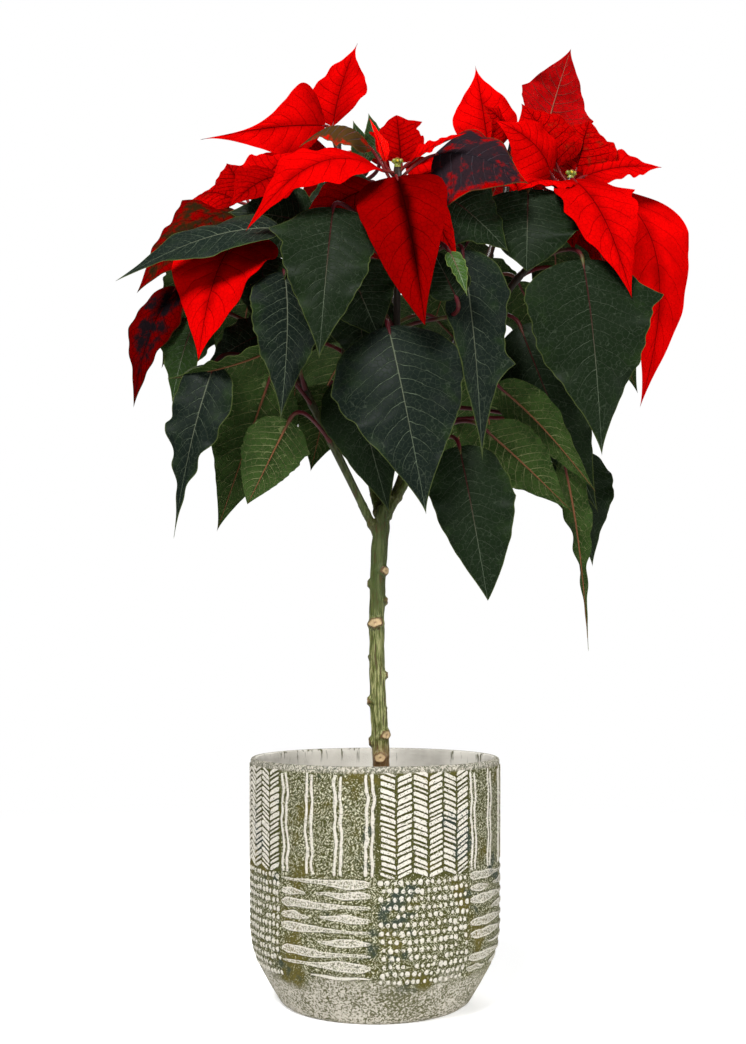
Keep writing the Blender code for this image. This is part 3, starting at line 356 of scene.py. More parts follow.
def bladeRows(blade):
    broad = blade.width >= bladePlan["broad"]
    columns = (-1, -0.5, 0, 0.5, 1) if broad else (-1, 0, 1)
    stations = bladePlan["broadStations" if broad else "slimStations"]
    points = [[bladePoint(blade, t, c) for c in columns] for t in stations]
    tip = midrib(blade, 1)
    last = points[-1]
    tipNormal = (last[-1] - last[0]).cross(tip - last[len(columns) // 2]).normalized()
    return points + [[tip]], gridNormals(points) + [[tipNormal]]


def stalkCurve(blade, pieces):
    start = pointAtHeight(stemPaths[blade.stem], blade.leavesAt)
    span = (blade.base - start).length
    lift = Vector((0, 0, bladePlan["stalkRise"] * span))
    leaving = ((blade.base - start) + lift).normalized() * span * bladePlan["leaving"]
    arriving = (midrib(blade, bladePlan["inLine"]) - blade.base).normalized() * span * bladePlan["arriving"]
    pieces = pieces or (4 if span > bladePlan["longStalk"] else 2)
    path = []
    for k in range(pieces + 1):
        t = k / pieces
        path.append(start * (1 - t) ** 3 + (start + leaving) * 3 * t * (1 - t) ** 2
                    + (blade.base - arriving) * 3 * t * t * (1 - t) + blade.base * t ** 3)
    return path


def stalkRings(blade):
    path = stalkCurve(blade, None)
    rings = []
    side = None
    for k in reversed(range(len(path))):
        ahead = path[k + 1] if k + 1 < len(path) else midrib(blade, bladePlan["inLine"])
        along = (ahead - path[max(k - 1, 0)]).normalized()
        side = side or along.cross(blade.face)
        side = (side - along * side.dot(along)).normalized()
        above = side.cross(along)
        rings.append([path[k] + offset * blade.stalk for offset in (-side, above, side, -above)])
    return rings[::-1]


def bladeShell(blade, thickness, first=0):
    points, normals = bladeRows(blade)
    points, normals = points[first:], normals[first:]
    top, bottom, starts = [], [], []
    for row, ups in zip(points, normals):
        starts.append(len(top))
        top += [p + n * thickness / 2 for p, n in zip(row, ups)]
        bottom += [p - n * thickness / 2 for p, n in zip(row, ups)]
    under = len(top)
    faces = []

    def bothFaces(a, b, c):
        faces.extend(((a, b, c), (under + c, under + b, under + a)))

    def rim(a, b):
        faces.extend(((a, under + a, under + b), (a, under + b, b)))

    across = len(points[0])
    for low, high in zip(starts[:-2], starts[1:-1]):
        for j in range(across - 1):
            if j < across // 2:
                bothFaces(low + j, low + j + 1, high + j + 1)
                bothFaces(low + j, high + j + 1, high + j)
            else:
                bothFaces(low + j, low + j + 1, high + j)
                bothFaces(low + j + 1, high + j + 1, high + j)
        rim(high, low)
        rim(low + across - 1, high + across - 1)
    low, tip = starts[-2], starts[-1]
    for j in range(across - 1):
        bothFaces(low + j, low + j + 1, tip)
    rim(tip, low)
    rim(low + across - 1, tip)
    if first:
        for j in range(across - 1):
            rim(j, j + 1)
        return top + bottom, faces

    rings = stalkRings(blade)
    start = 2 * under
    for k in range(len(rings) - 1):
        ring = start + 4 * k
        for s in range(4):
            n = (s + 1) % 4
            faces.extend(((ring + s, ring + n, ring + 4 + n), (ring + s, ring + 4 + n, ring + 4 + s)))
    faces.extend(((start + 2, start + 1, start), (start + 3, start + 2, start)))
    left, crest, right, keel = (start + 4 * (len(rings) - 1) + s for s in range(4))
    middle = across // 2
    for j in range(across - 1):
        above, below = (left, left) if j < middle else (right, right)
        faces.extend(((above, j + 1, j), (below, under + j, under + j + 1)))
    faces.extend(((left, crest, middle), (crest, right, middle)))
    faces.extend(((keel, left, under + middle), (right, keel, under + middle)))
    faces.extend(((left, 0, under), (right, under + across - 1, across - 1)))
    return top + bottom + [p for ring in rings for p in ring], faces


def seenBlades():
    blades = []
    draw = random.Random(7)
    for rows, family, stalk in ((seenBracts, "bloom", bladePlan["bractStalk"]),
                                (seenLeaves, "leafy_stem", bladePlan["leafStalk"])):
        for stem, height, base, tip, face, width, arch, cup, form, tint in rows:
            base, tip = Vector(base) * mm, Vector(tip) * mm
            blades.append(Blade(f"{family}_{stem}", stem, height * mm, base, tip - base,
                                Vector(face).normalized(), width * mm, arch, cup, form,
                                stalk, draw.uniform(0, 2 * math.pi), tint))
    return blades


def backBlades():
    blades = []
    draw = random.Random(23)
    for rows, family in ((backBracts, "bloom"), (backLeaves, "leafy_stem")):
        for number, (stem, height, turn, pitch, length) in enumerate(rows):
            leaf = family == "leafy_stem"
            turn, pitch = math.radians(turn), math.radians(pitch)
            out = Vector((math.cos(turn), math.sin(turn), 0))
            start = pointAtHeight(stemPaths[stem], height * mm)
            stalk = out * bladePlan["backLeafStalk" if leaf else "backBractStalk"] * mm
            base = start + stalk + up * (14 * mm if leaf else 4 * mm)
            reach = (out * math.cos(pitch) + up * math.sin(pitch)) * length * mm
            face = up * math.cos(pitch) - out * math.sin(pitch)
            forms = ("leaf", "lobed", "toothed") if leaf else ("bract",)
            shades = ("dark", "blue", "dark", "grey") if leaf else ("fresh", "deep", "fresh")
            form, tint = forms[number % len(forms)], shades[number % len(shades)]
            blades.append(Blade(f"{family}_{stem}", stem, start.z, base, reach, face,
                                reach.length * (0.58 if leaf else 0.50), 0.10, 0.08, form,
                                bladePlan["leafStalk" if leaf else "bractStalk"],
                                draw.uniform(0, 2 * math.pi), tint))
    return blades


# Settling, by the same rule as the solids, so that each blade lies where its solid does

def rodTree(path, radius):
    points, faces = [], []
    for k, p in enumerate(path):
        along = (path[min(k + 1, len(path) - 1)] - path[max(k - 1, 0)]).normalized()
        side = along.orthogonal().normalized() * radius
        other = along.cross(side)
        points += [p + side + other, p - side + other, p - side - other, p + side - other]
        if k:
            faces += [(4 * k - 4 + s, 4 * k - 4 + (s + 1) % 4, 4 * k + (s + 1) % 4, 4 * k + s)
                      for s in range(4)]
    return BVHTree.FromPolygons(points, faces)


def turned(blade, swing, tilt, roll, size):
    view = Vector((0, 1, 0))
    depthAxis = blade.reach.cross(view)
    if depthAxis.length < 0.2 * blade.reach.length:
        depthAxis = blade.reach.cross(Vector((0, 0, 1)))
    turn = (Matrix.Rotation(math.radians(swing), 3, depthAxis.normalized())
            @ Matrix.Rotation(math.radians(tilt), 3, view)
            @ Matrix.Rotation(math.radians(roll), 3, blade.reach.normalized()))
    return replace(blade, reach=turn @ blade.reach * size, face=turn @ blade.face,
                   width=blade.width * size)


def turnSize(turn):
    swing, tilt, roll = turn
    return abs(swing) + 1.3 * abs(tilt) + 0.4 * abs(roll)


allTurns = sorted(((s, t, r) for s in settlePlan["swings"] for t in settlePlan["tilts"]
                   for r in settlePlan["rolls"]), key=turnSize)


def stemRods():
    rods = []
    for stem, path in stemPaths.items():
        length = pathLength(path)
        ends = (0, bladePlan["stub"], length - bladePlan["crown"], length)
        nodes = ("trunk", "leafy_stem_" + stem, "bloom_" + stem)
        for node, start, end in zip(nodes, ends, ends[1:]):
            rod = rodTree(pathPiece(path, start, end, 8), bladePlan["stemRadius"] + bladePlan["clearance"])
            rods.append((node, None, rod))
        top = (path[-1] - path[-4]).normalized()
        cluster = rodTree([path[-1], path[-1] + top * bladePlan["flowerHeight"]], bladePlan["flowerRadius"])
        rods.append(("flowers_" + stem, None, cluster))
    return rods


def settledPlace(blade, index, rods, placed):
    thickness = bladePlan["thickness"] + 2 * bladePlan["clearance"]
    fallback = None
    for size in settlePlan["sizes"]:
        for swing, tilt, roll in allTurns:
            trial = turned(blade, swing, tilt, roll, size)
            full = BVHTree.FromPolygons(*bladeShell(trial, thickness))
            if any(full.overlap(rod) for node, _, rod in rods if node != blade.node):
                continue
            if any(full.overlap(other) for node, other, _ in placed if node != blade.node):
                continue
            outer = BVHTree.FromPolygons(*bladeShell(trial, thickness, first=2))
            fallback = fallback or (trial, full, outer)
            ownRods = (rod for node, owner, rod in rods if node == blade.node and owner != index)
            ownBlades = (other for node, _, other in placed if node == blade.node)
            if not any(outer.overlap(tree) for tree in (*ownRods, *ownBlades)):
                return trial, full, outer
        if fallback and size < settlePlan["leastSize"]:
            break
    return fallback


def settle(blades):
    rods = [(b.node, index, rodTree(stalkCurve(b, None), b.stalk + bladePlan["clearance"]))
            for index, b in enumerate(blades)]
    rods += stemRods()
    placed, settled = [], []
    for index, blade in enumerate(blades):
        chosen = settledPlace(blade, index, rods, placed)
        if chosen is None:
            continue
        settled.append(chosen[0])
        placed.append((blade.node, chosen[1], chosen[2]))
    return settled


# Meshes

def kept(point):
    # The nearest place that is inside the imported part's box.
    return tuple(min(max(c, low), high) for c, low, high in zip(point, cadLow, cadHigh))


def newShape():
    return {"points": [], "faces": [], "finish": [], "place": [], "size": [], "tone": []}


def addFaces(shape, finish, *faces):
    shape["faces"] += faces
    shape["finish"] += [finish] * len(faces)


def addRings(shape, rings, finish=0):
    # A closed skin over rings that have the same number of points.
    start, count = len(shape["points"]), len(rings[0])
    for ring in rings:
        shape["points"].extend(ring)
    faces = [tuple(start + s for s in reversed(range(count)))]
    for k in range(len(rings) - 1):
        low, high = start + count * k, start + count * (k + 1)
        for s in range(count):
            n = (s + 1) % count
            faces.append((low + s, low + n, high + n, high + s))
    last = start + count * (len(rings) - 1)
    addFaces(shape, finish, *faces, tuple(last + s for s in range(count)))


def tubeRings(path, radii, sides):
    # Rings square to a path, turned as little as can be from one to the next.
    rings, side = [], None
    for k, p in enumerate(path):
        along = (path[min(k + 1, len(path) - 1)] - path[max(k - 1, 0)]).normalized()
        side = side or along.orthogonal()
        side = (side - along * side.dot(along)).normalized()
        other = along.cross(side)
        rings.append([p + (side * math.cos(turn) + other * math.sin(turn)) * radii[k]
                      for turn in fullTurn(sides)])
    return rings


def addObject(name, data):
    item = bpy.data.objects.new(name, data)
    bpy.context.scene.collection.objects.link(item)
    return item


def makePiece(name, shape, finishes, smooth=60):
    mesh = bpy.data.meshes.new(name)
    mesh.from_pydata([kept(p) for p in shape["points"]], [], shape["faces"])
    for finish in finishes:
        mesh.materials.append(finish)
    mesh.polygons.foreach_set("material_index", np.array(shape["finish"], np.int32))
    for mark in ("place", "size", "tone"):
        if len(shape[mark]) == len(shape["points"]):
            layer = mesh.attributes.new("mark" + mark.capitalize(), "FLOAT_VECTOR", "POINT")
            layer.data.foreach_set("vector", np.array(shape[mark], np.float32).ravel())
    mesh.shade_smooth()
    mesh.set_sharp_from_angle(angle=math.radians(smooth))
    mesh.validate()
    return addObject(name, mesh)


def settlePiece(piece, slot, *nodes):
    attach(piece, "root")
    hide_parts(*nodes)


# Shader nodes

class Value:
    # A socket that is reckoned with as a number, each step by a Math node.
    def __init__(self, socket):
        self.socket, self.tree = socket, socket.id_data

    def __abs__(self):
        return calc("ABSOLUTE", self)

    def __add__(self, other):
        return calc("ADD", self, other)

    def __sub__(self, other):
        return calc("SUBTRACT", self, other)

    def __rsub__(self, other):
        return calc("SUBTRACT", other, self)

    def __mul__(self, other):
        return calc("MULTIPLY", self, other)

    def __truediv__(self, other):
        return calc("DIVIDE", self, other)

    def __pow__(self, other):
        return calc("POWER", self, other)

    def __gt__(self, other):
        return calc("GREATER_THAN", self, other)


def treeOf(values):
    return next(value.tree for value in values if isinstance(value, Value))


def feed(value, socket):
    if isinstance(value, Value):
        value.tree.links.new(value.socket, socket)
    else:
        socket.default_value = value


def addNode(tree, kind, values=(), output=0, **settings):
    node = tree.nodes.new("ShaderNode" + kind)
    for key, value in settings.items():
        setattr(node, key, value)
    for key, value in dict(values).items():
        feed(value, node.inputs[key])
    return Value(node.outputs[output])


def calc(operation, *values, clamp=False):
    return addNode(treeOf(values), "Math", enumerate(values), operation=operation, use_clamp=clamp)


def larger(first, second):
    return calc("MAXIMUM", first, second)


def fraction(value):
    return calc("FRACT", value)


def ramp(value, low, high, least=0.0, most=1.0):
    # Goes smoothly from least at low to most at high.
    values = {"Value": value, "From Min": low, "From Max": high, "To Min": least, "To Max": most}
    return addNode(value.tree, "MapRange", values, interpolation_type="SMOOTHSTEP")


def blend(share, first, second):
    return addNode(share.tree, "Mix", {0: share, 6: first, 7: second}, 2, data_type="RGBA")


def noiseAt(where, scale, detail=4.0, rough=0.55, warp=0.0):
    return addNode(where.tree, "TexNoise", {"Vector": where, "Scale": scale, "Detail": detail,
                                            "Roughness": rough, "Distortion": warp}, "Fac")


def split(vector):
    first = addNode(vector.tree, "SeparateXYZ", {"Vector": vector}).socket
    return [Value(part) for part in first.node.outputs]


def join(first, second):
    return addNode(first.tree, "CombineXYZ", {"X": first, "Y": second})


def scaled(vector, share):
    return addNode(vector.tree, "VectorMath", {0: vector, "Scale": share}, operation="SCALE")


def lengthOf(vector):
    return addNode(vector.tree, "VectorMath", {0: vector}, "Value", operation="LENGTH")


def drawnOut(where, share):
    # The place with its height shortened, which draws a noise out along the height.
    return addNode(where.tree, "Mapping", {"Vector": where, "Scale": (1.0, 1.0, share)})


def newGroup(name, inputs, outputs):
    tree = bpy.data.node_groups.new(name, "ShaderNodeTree")
    for label, kind in inputs.items():
        tree.interface.new_socket(label, in_out="INPUT", socket_type="NodeSocket" + kind)
    for label in outputs:
        tree.interface.new_socket(label, in_out="OUTPUT", socket_type="NodeSocketFloat")
    given = tree.nodes.new("NodeGroupInput").outputs
    return tree, [Value(given[label]) for label in inputs]


def closeGroup(tree, *values):
    for value, socket in zip(values, tree.nodes.new("NodeGroupOutput").inputs):
        feed(value, socket)
    return tree


def placeGroup(group, **values):
    node = treeOf(values.values()).nodes.new("ShaderNodeGroup")
    node.node_tree = group
    for key, value in values.items():
        feed(value, node.inputs[key])
    return {socket.name: Value(socket) for socket in node.outputs}


def newFinish(name, roughness, gloss=0.5):
    finish = bpy.data.materials.new(name)
    finish.use_nodes = True
    shader = finish.node_tree.nodes["Principled BSDF"]
    shader.inputs["Roughness"].default_value = roughness
    shader.inputs["Specular IOR Level"].default_value = gloss
    return finish, shader


def placeOn(shader):
    return addNode(shader.id_data, "TexCoord", output="Object")


def markOn(shader, mark):
    return addNode(shader.id_data, "Attribute", output="Vector", attribute_name=mark)


def paint(shader, tone, height=None, depth=0.0, strength=1.0):
    feed(tone, shader.inputs["Base Color"])
    if height:
        values = {"Height": height, "Distance": depth, "Strength": strength}
        feed(addNode(shader.id_data, "Bump", values), shader.inputs["Normal"])


# Veins on a blade's right are staggered against those on its left, and all bend towards the tip.
veinLook = {"stagger": 0.37, "bend": 1.25, "wander": 0.03, "jitter": 0.25, "netLine": 0.060}


def makeVeinGroup():
    # Place is (along, across, mm to the edge), Size is in centimetres and Width is half that
    # of a side vein, in millimetres.
    tree, (place, size, pairs, lean, width, net) = newGroup(
        "bladeVeins", {"Place": "Vector", "Size": "Vector", "Pairs": "Float", "Lean": "Float",
                       "Width": "Float", "Net": "Float"}, ("Midrib", "Side", "Mesh", "Height"))
    along, across, _ = split(place)
    down, beside, _ = split(size)
    out = abs(across)
    wander = (noiseAt(size, 0.9, 2.0) - 0.5) * veinLook["wander"]
    climb = along - out ** veinLook["bend"] * lean + wander
    share = fraction(climb * pairs + (across > 0.0) * veinLook["stagger"])
    length = down / larger(along, 0.001)
    near = (0.5 - abs(share - 0.5)) * (length * 10.0 / pairs)
    side = ramp(near, width * (1.25 - out), 0.0) * (ramp(out, 1.0, 0.75) * ramp(along, 0.97, 0.8))
    rib = ramp(abs(beside), ramp(along, 0.0, 1.0, 0.085, 0.025), 0.0)
    flat = join(down, beside)
    shift = scaled(addNode(tree, "TexNoise", {"Vector": flat, "Scale": 2.0}, "Color"), veinLook["jitter"])
    warped = addNode(tree, "VectorMath", {0: flat, 1: shift}, operation="ADD")
    cells = {"Vector": warped, "Scale": net}
    cells = addNode(tree, "TexVoronoi", cells, "Distance", feature="DISTANCE_TO_EDGE")
    mesh = ramp(cells, veinLook["netLine"], 0.0)
    return closeGroup(tree, rib, side, mesh, larger(rib, larger(side, mesh * 0.35)))


def makeSpeckGroup():
    # Fine grain from 0 to 1, for soil and cement.
    tree, (where, scale) = newGroup("specks", {"Where": "Vector", "Scale": "Float"}, ("Grain",))
    return closeGroup(tree, noiseAt(where, scale, 3.0, 0.6))


def makeStrokeGroup():
    # Short dry strokes that lean either way. Wall is (mm round the wall, mm up it, 0).
    tree, (wall, length, breadth, level) = newGroup(
        "dryStrokes", {"Wall": "Vector", "Length": "Float", "Breadth": "Float", "Level": "Float"},
        ("Stroke",))
    beside, above, _ = split(wall)
    rise, fall = beside + above, beside - above
    strokes = [noiseAt(join(rise / first, fall / second), 1.0, 2.5, 0.6, 0.4)
               for first, second in ((length, breadth), (breadth, length))]
    mixed = blend(ramp(noiseAt(wall, 0.16, 2.0), 0.46, 0.54), *strokes)
    return closeGroup(tree, ramp(mixed, level, level + 0.06))


veinGroup = makeVeinGroup()
speckGroup = makeSpeckGroup()
strokeGroup = makeStrokeGroup()


# Finish of leaves and bracts

leafLook = {
    "deep": (0.0060, 0.0125, 0.0055, 1), "blue": (0.0065, 0.0120, 0.0085, 1), "mid": (0.018, 0.040, 0.007, 1),
    "edge": (0.085, 0.110, 0.028, 1), "vein": (0.18, 0.23, 0.15, 1), "rib": (0.06, 0.010, 0.012, 1),
    "under": (0.034, 0.066, 0.013, 1), "underVein": (0.32, 0.35, 0.15, 1),
    "underRib": (0.17, 0.065, 0.026, 1),
    "pairs": 13.0, "lean": 0.17, "width": 0.38, "net": 2.6, "gloss": 0.06,
    "patched": 1.0, "underNet": 0.28, "underSide": 1.0,
    "frill": 1.8 * mm, "scallop": 0.020, "tattered": 0.10,
}
bractLook = {
    # The dark colour below is the painted shade in a bract's crease and towards its base, and also colours
    # the darker patches underneath.
    "red": (0.66, 0.0009, 0.0008, 1), "dark": (0.08, 0.0003, 0.0004, 1), "vein": (0.04, 0.0003, 0.0008, 1),
    "slate": (0.026, 0.025, 0.032, 1), "green": (0.060, 0.040, 0.012, 1), "edge": (0.16, 0.07, 0.025, 1),
    "ash": (0.13, 0.125, 0.15, 1),
    "under": (0.46, 0.002, 0.003, 1), "underVein": (0.46, 0.06, 0.045, 1), "underRib": (0.26, 0.06, 0.03, 1),
    "pairs": 9.0, "lean": 0.19, "width": 0.55, "net": 2.8, "gloss": 0.0,
    "patched": 0.5, "underNet": 0.25, "underSide": 0.7,
    "frill": 1.1 * mm, "scallop": 0.008, "tattered": 0.0,
}

# Tints as (brightness, share turned to another colour, share darkened by the net). A bract
# turns green below a share of 1, and above it slate by what is over 1. A net over 1 makes
# the painted shade along the midrib's crease stronger.
tints = {
    # The grey tint below is a blue leaf made brighter, a painted sheen.
    "dark": (0.9, 0.15, 0.0), "blue": (1.0, 0.0, 1.0), "grey": (1.25, 0.0, 1.0), "olive": (1.3, 0.7, 0.1),
    # The bright tint below is painted light: bracts lit from behind are given a brighter colour.
    "young": (2.4, 1.0, 0.2), "fresh": (1.0, 0.0, 0.15), "bright": (1.15, 0.0, 0.0), "deep": (0.62, 0.0, 0.6),
    # The heart bract's tint below is darkened all over, a painted shade, and its net over 1 strengthens the
    # crease's painted shade.
    "shadedFold": (0.38, 0.0, 1.2), "netted": (0.74, 0.06, 0.99), "mottled": (0.19, 1.46, 0.9),
    "maroon": (0.32, 0.42, 0.99), "slate": (0.55, 1.68, 0.6), "tawny": (0.9, 0.75, 0.3),
}
topRelief, underRelief = 0.9 * mm, 1.2 * mm


def bladeFinish(name, look):
    finish, shader = newFinish(name, 0.6, look["gloss"])
    place, size, tone = (markOn(shader, mark) for mark in ("markPlace", "markSize", "markTone"))
    veins = placeGroup(veinGroup, Place=place, Size=size, Pairs=look["pairs"], Lean=look["lean"],
                       Width=look["width"], Net=look["net"])
    return finish, shader, size, veins, split(place), split(tone)


def paintTop(shader, tone, bright, cloud, dull, height):
    # The shine varies with the cloud, up to the roughness that dull gives.
    feed(ramp(cloud, 0.3, 0.8, 0.42, dull), shader.inputs["Roughness"])
    # The colour is scaled by the tint's brightness, which for some tints is painted light and for others
    # painted shade.
    paint(shader, scaled(tone, bright), cloud * 0.3 - height, topRelief)


def makeLeafTop():
    look = leafLook
    finish, shader, size, veins, (along, across, edge), (bright, young, netted) = bladeFinish("leafTop", look)
    cloud = noiseAt(size, 0.55, 4.0, 0.6)
    tone = blend(netted, look["deep"], look["blue"])
    tone = blend(ramp(cloud, 0.45, 0.75) * ramp(abs(across), 0.2, 1.0) * 0.6, tone, look["mid"])
    tone = blend(young, tone, look["mid"])
    clear = ramp(netted, 0.0, 1.0, 0.42, 0.80) * ramp(noiseAt(size, 2.0, 2.0), 0.36, 0.60, 0.5, 1.0)
    tone = blend(larger(veins["Side"] * clear, veins["Mesh"] * 0.13), tone, look["vein"])
    pale = larger(ramp(along, 0.25, 0.75), netted * 0.7)
    tone = blend(veins["Midrib"] * 0.9, tone, blend(pale, look["rib"], look["vein"]))
    tone = blend(ramp(edge, 0.9, 0.1, 0.0, 0.75), tone, look["edge"])
    paintTop(shader, tone, bright, cloud, 0.60, veins["Height"] * 0.6)
    return finish


def makeBractTop():
    look = bractLook
    finish, shader, size, veins, (along, across, edge), (bright, other, net) = bladeFinish("bractTop", look)
    cloud = noiseAt(size, 0.5, 3.0, 0.6)
    netted = fraction(net)
    # Painted shade: darker along the midrib's crease and towards the base, with soft cloudy darker patches.
    creaseShade = ramp(abs(across), 0.42, 0.0) ** 2.0 * ramp(net > 1.0, 0.0, 1.0, 0.40, 1.0)
    creaseShade = larger(creaseShade, ramp(along, 0.30, 0.0, 0.0, 0.45)) * ramp(along, 1.0, 0.6, 0.2, 1.0)
    creaseShade = calc("ADD", creaseShade, ramp(cloud, 0.40, 0.70, 0.0, 0.22), clamp=True)
    tone = blend(creaseShade, look["red"], look["dark"])
    lines = larger(veins["Mesh"] * (netted * 0.6 + 0.06), veins["Side"] * (netted * 0.5 + 0.30))
    tone = blend(lines, tone, look["vein"])
    tone = blend(veins["Midrib"] * 0.75, tone, look["vein"])
    # Where a bract has turned green or slate: in blotches, more so inside and between its veins.
    share = fraction(other)
    inner = ramp(edge, 1.0, 9.0, -0.10, 0.05) - veins["Side"] * 0.10
    blotch = noiseAt(size, 1.0, 4.0, 0.6) + (share - 0.5) * 0.5 + inner
    changed = blend(other > 1.0, look["green"], look["slate"])
    changed = blend(veins["Side"] * 0.5, changed, look["ash"])
    tone = blend(ramp(blotch, 0.40, 0.62) * ramp(share, 0.0, 0.1) * 0.97, tone, changed)
    tone = blend(ramp(edge, 1.2, 0.3) * ramp(share, 0.0, 0.3), tone, look["edge"])
    paintTop(shader, tone, bright, cloud, 0.56, veins["Height"] * 0.5)
    return finish


def makeUnder(name, look, patch):
    finish, shader, size, veins, _, _ = bladeFinish(name, look)
    tone = blend(ramp(noiseAt(size, 0.7, 4.0, 0.6), 0.35, 0.7, 0.0, look["patched"]), look["under"], patch)
    tone = blend(veins["Mesh"] * look["underNet"], tone, look["underVein"])
    tone = blend(veins["Side"] * look["underSide"], tone, look["underVein"])
    tone = blend(veins["Midrib"], tone, look["underRib"])
    paint(shader, tone, veins["Height"], underRelief)
    return finish


stalkLook = {
    "leafRed": (0.075, 0.006, 0.010, 1), "bractRed": (0.17, 0.007, 0.008, 1), "green": (0.09, 0.11, 0.03, 1),
    "roughness": 0.45, "gloss": 0.2,
}


def makeStalkFinish(name, share, red, rib):
    # A stalk runs on as the rib under its blade, where it takes the rib's colour.
    finish, shader = newFinish(name, stalkLook["roughness"], stalkLook["gloss"])
    where = placeOn(shader)
    along = split(markOn(shader, "markPlace"))[0]
    tone = blend(ramp(noiseAt(where, 60.0, 3.0), share - 0.2, share + 0.2), red, stalkLook["green"])
    tone = blend(ramp(along, 0.02, 0.22), tone, rib)
    paint(shader, tone, noiseAt(where, 900.0, 2.0), 0.2 * mm)
    return finish


# Fine blades

fineBladeLook = {
    "along": 1.75 * mm, "across": 3.4 * mm, "fewestRows": 14, "mostRows": 78, "fewestHalf": 3, "mostHalf": 11,
    "thickness": 0.40 * mm, "edgeThickness": 0.26 * mm, "firstPlace": 0.006, "lastPlace": 0.985,
    "quilt": 0.75 * mm, "groove": 0.5 * mm, "grooveWidth": 1.3 * mm, "sway": 2.2 * mm, "narrow": 11 * mm,
    "uneven": 0.06, "unevenLoose": 0.26, "frillLoose": 1.7, "ruffles": 5.5, "toothSharp": 1.7,
    "stalkSteps": 16, "stalkSides": 8, "foot": 0.35, "rib": 0.72, "ribThins": 0.60, "ribEnd": 0.93,
}


def bladeGrid(blade, look, number, seed):
    # Rows of points on a blade's middle surface, and for each (along, across, mm to the edge)
    # and its place in centimetres.
    plan = fineBladeLook
    length = blade.reach.length
    rows = min(max(round(length / plan["along"]), plan["fewestRows"]), plan["mostRows"])
    columns = 2 * min(max(round(blade.width / plan["across"] / 2), plan["fewestHalf"]), plan["mostHalf"])
    slope = math.atan(blade.cup)
    loose = blade.form == "tailed"
    frill = look["frill"] * (plan["frillLoose"] if loose else 0.25 + abs(math.sin(1.9 * number)))
    scallop = look["scallop"] * abs(math.sin(2.3 * number))
    uneven = plan["uneven"] + look["tattered"] * abs(math.sin(2.9 * number))
    uneven, fades = (plan["unevenLoose"], 1.6) if loose else (uneven, 1.0)
    grid, marks = [], []
    for i in range(rows + 1):
        t = plan["firstPlace"] + (plan["lastPlace"] - plan["firstPlace"]) * i / rows
        side, above = bladeFrame(blade, t)
        middle = midrib(blade, t)
        ends = math.sin(math.pi * min(1, 1.05 * t))
        grid.append([])
        marks.append([])
        for j in range(columns + 1):
            across = 2 * j / columns - 1
            edge = 1 if across > 0 else -1
            stagger = veinLook["stagger"] if across > 0 else 0
            far = abs(across)
            span = halfWidth(blade, t, edge, plan["toothSharp"])
            count = (t - look["lean"]) * look["pairs"] + stagger
            ragged = uneven * (1 - t) ** fades * noise.noise(Vector((9 * t, 3 * edge, seed)))
            span *= 1 + (ragged + scallop * math.cos(2 * math.pi * count)) * ends
            out = span * far
            count = (t - look["lean"] * far ** veinLook["bend"]) * look["pairs"] + stagger
            swell = abs(math.sin(math.pi * count)) ** 0.8 - 0.5
            quilt = plan["quilt"] * swell * (1 - far ** 3) * min(1, 4 * far)
            groove = plan["groove"] * math.exp(-(out / plan["grooveWidth"]) ** 2) * (1 - t)
            sway = plan["sway"] * noise.noise(Vector((2.6 * t, 1.4 * across, seed + 5))) * far
            ruffle = 2 * math.pi * (plan["ruffles"] * t + 0.5 * (edge > 0)) + seed
            ruffle = frill * math.sin(ruffle) * far ** 3
            broad = min(1, span / plan["narrow"])
            height = out * math.sin(slope) + span * curl(blade, t, across)
            height = height + (quilt + (sway + ruffle) * broad) * ends - groove * broad
            grid[-1].append(middle + side * (edge * out * math.cos(slope)) + above * height)
            marks[-1].append(((t, across, (span - out) / mm), (t * length * 100, edge * out * 100, seed)))
    return grid, marks


def addBladeSkin(shape, blade, grid, marks, seed):
    # The grid with a thickness, closed round its rim and at its tip.
    plan = fineBladeLook
    rows, wide = len(grid) - 1, len(grid[0])
    columns = wide - 1
    normals = [n for row in gridNormals(grid) for n in row]
    flat = [p for row in grid for p in row]
    flatMarks = [m for row in marks for m in row]
    edge = plan["edgeThickness"] - plan["thickness"]
    half = [0.5 * (plan["thickness"] + edge * abs(place[1]) * abs(place[1])) for place, _ in flatMarks]
    start = len(shape["points"])
    tip = start + len(flat)
    under = tip + 1
    shape["points"] += [p + n * h for p, n, h in zip(flat, normals, half)] + [midrib(blade, 1)]
    shape["points"] += [p - n * h for p, n, h in zip(flat, normals, half)]
    tipMark = ((1.0, 0.0, 0.0), (blade.reach.length * 100, 0.0, seed))
    every = flatMarks + [tipMark] + flatMarks
    shape["place"] += [m[0] for m in every]
    shape["size"] += [m[1] for m in every]
    shape["tone"] += [tints[blade.tint]] * len(every)
    for i in range(rows):
        low, high = i * wide, (i + 1) * wide
        for j in range(columns):
            a, b, c, d = low + j, low + j + 1, high + j + 1, high + j
            addFaces(shape, 0, (start + a, start + b, start + c, start + d))
            addFaces(shape, 1, (under + d, under + c, under + b, under + a))
        for a, b in ((high, low), (low + columns, high + columns)):
            addFaces(shape, 0, (start + a, under + a, under + b, start + b))
    last = rows * wide
    for j in range(columns):
        a, b = last + j, last + j + 1
        addFaces(shape, 0, (start + a, start + b, tip))
        addFaces(shape, 1, (under + b, under + a, tip))
        addFaces(shape, 0, (start + j, under + j, under + j + 1, start + j + 1))
    a, b = last, last + columns
    addFaces(shape, 0, (start + a, tip, under + a), (start + b, under + b, tip))


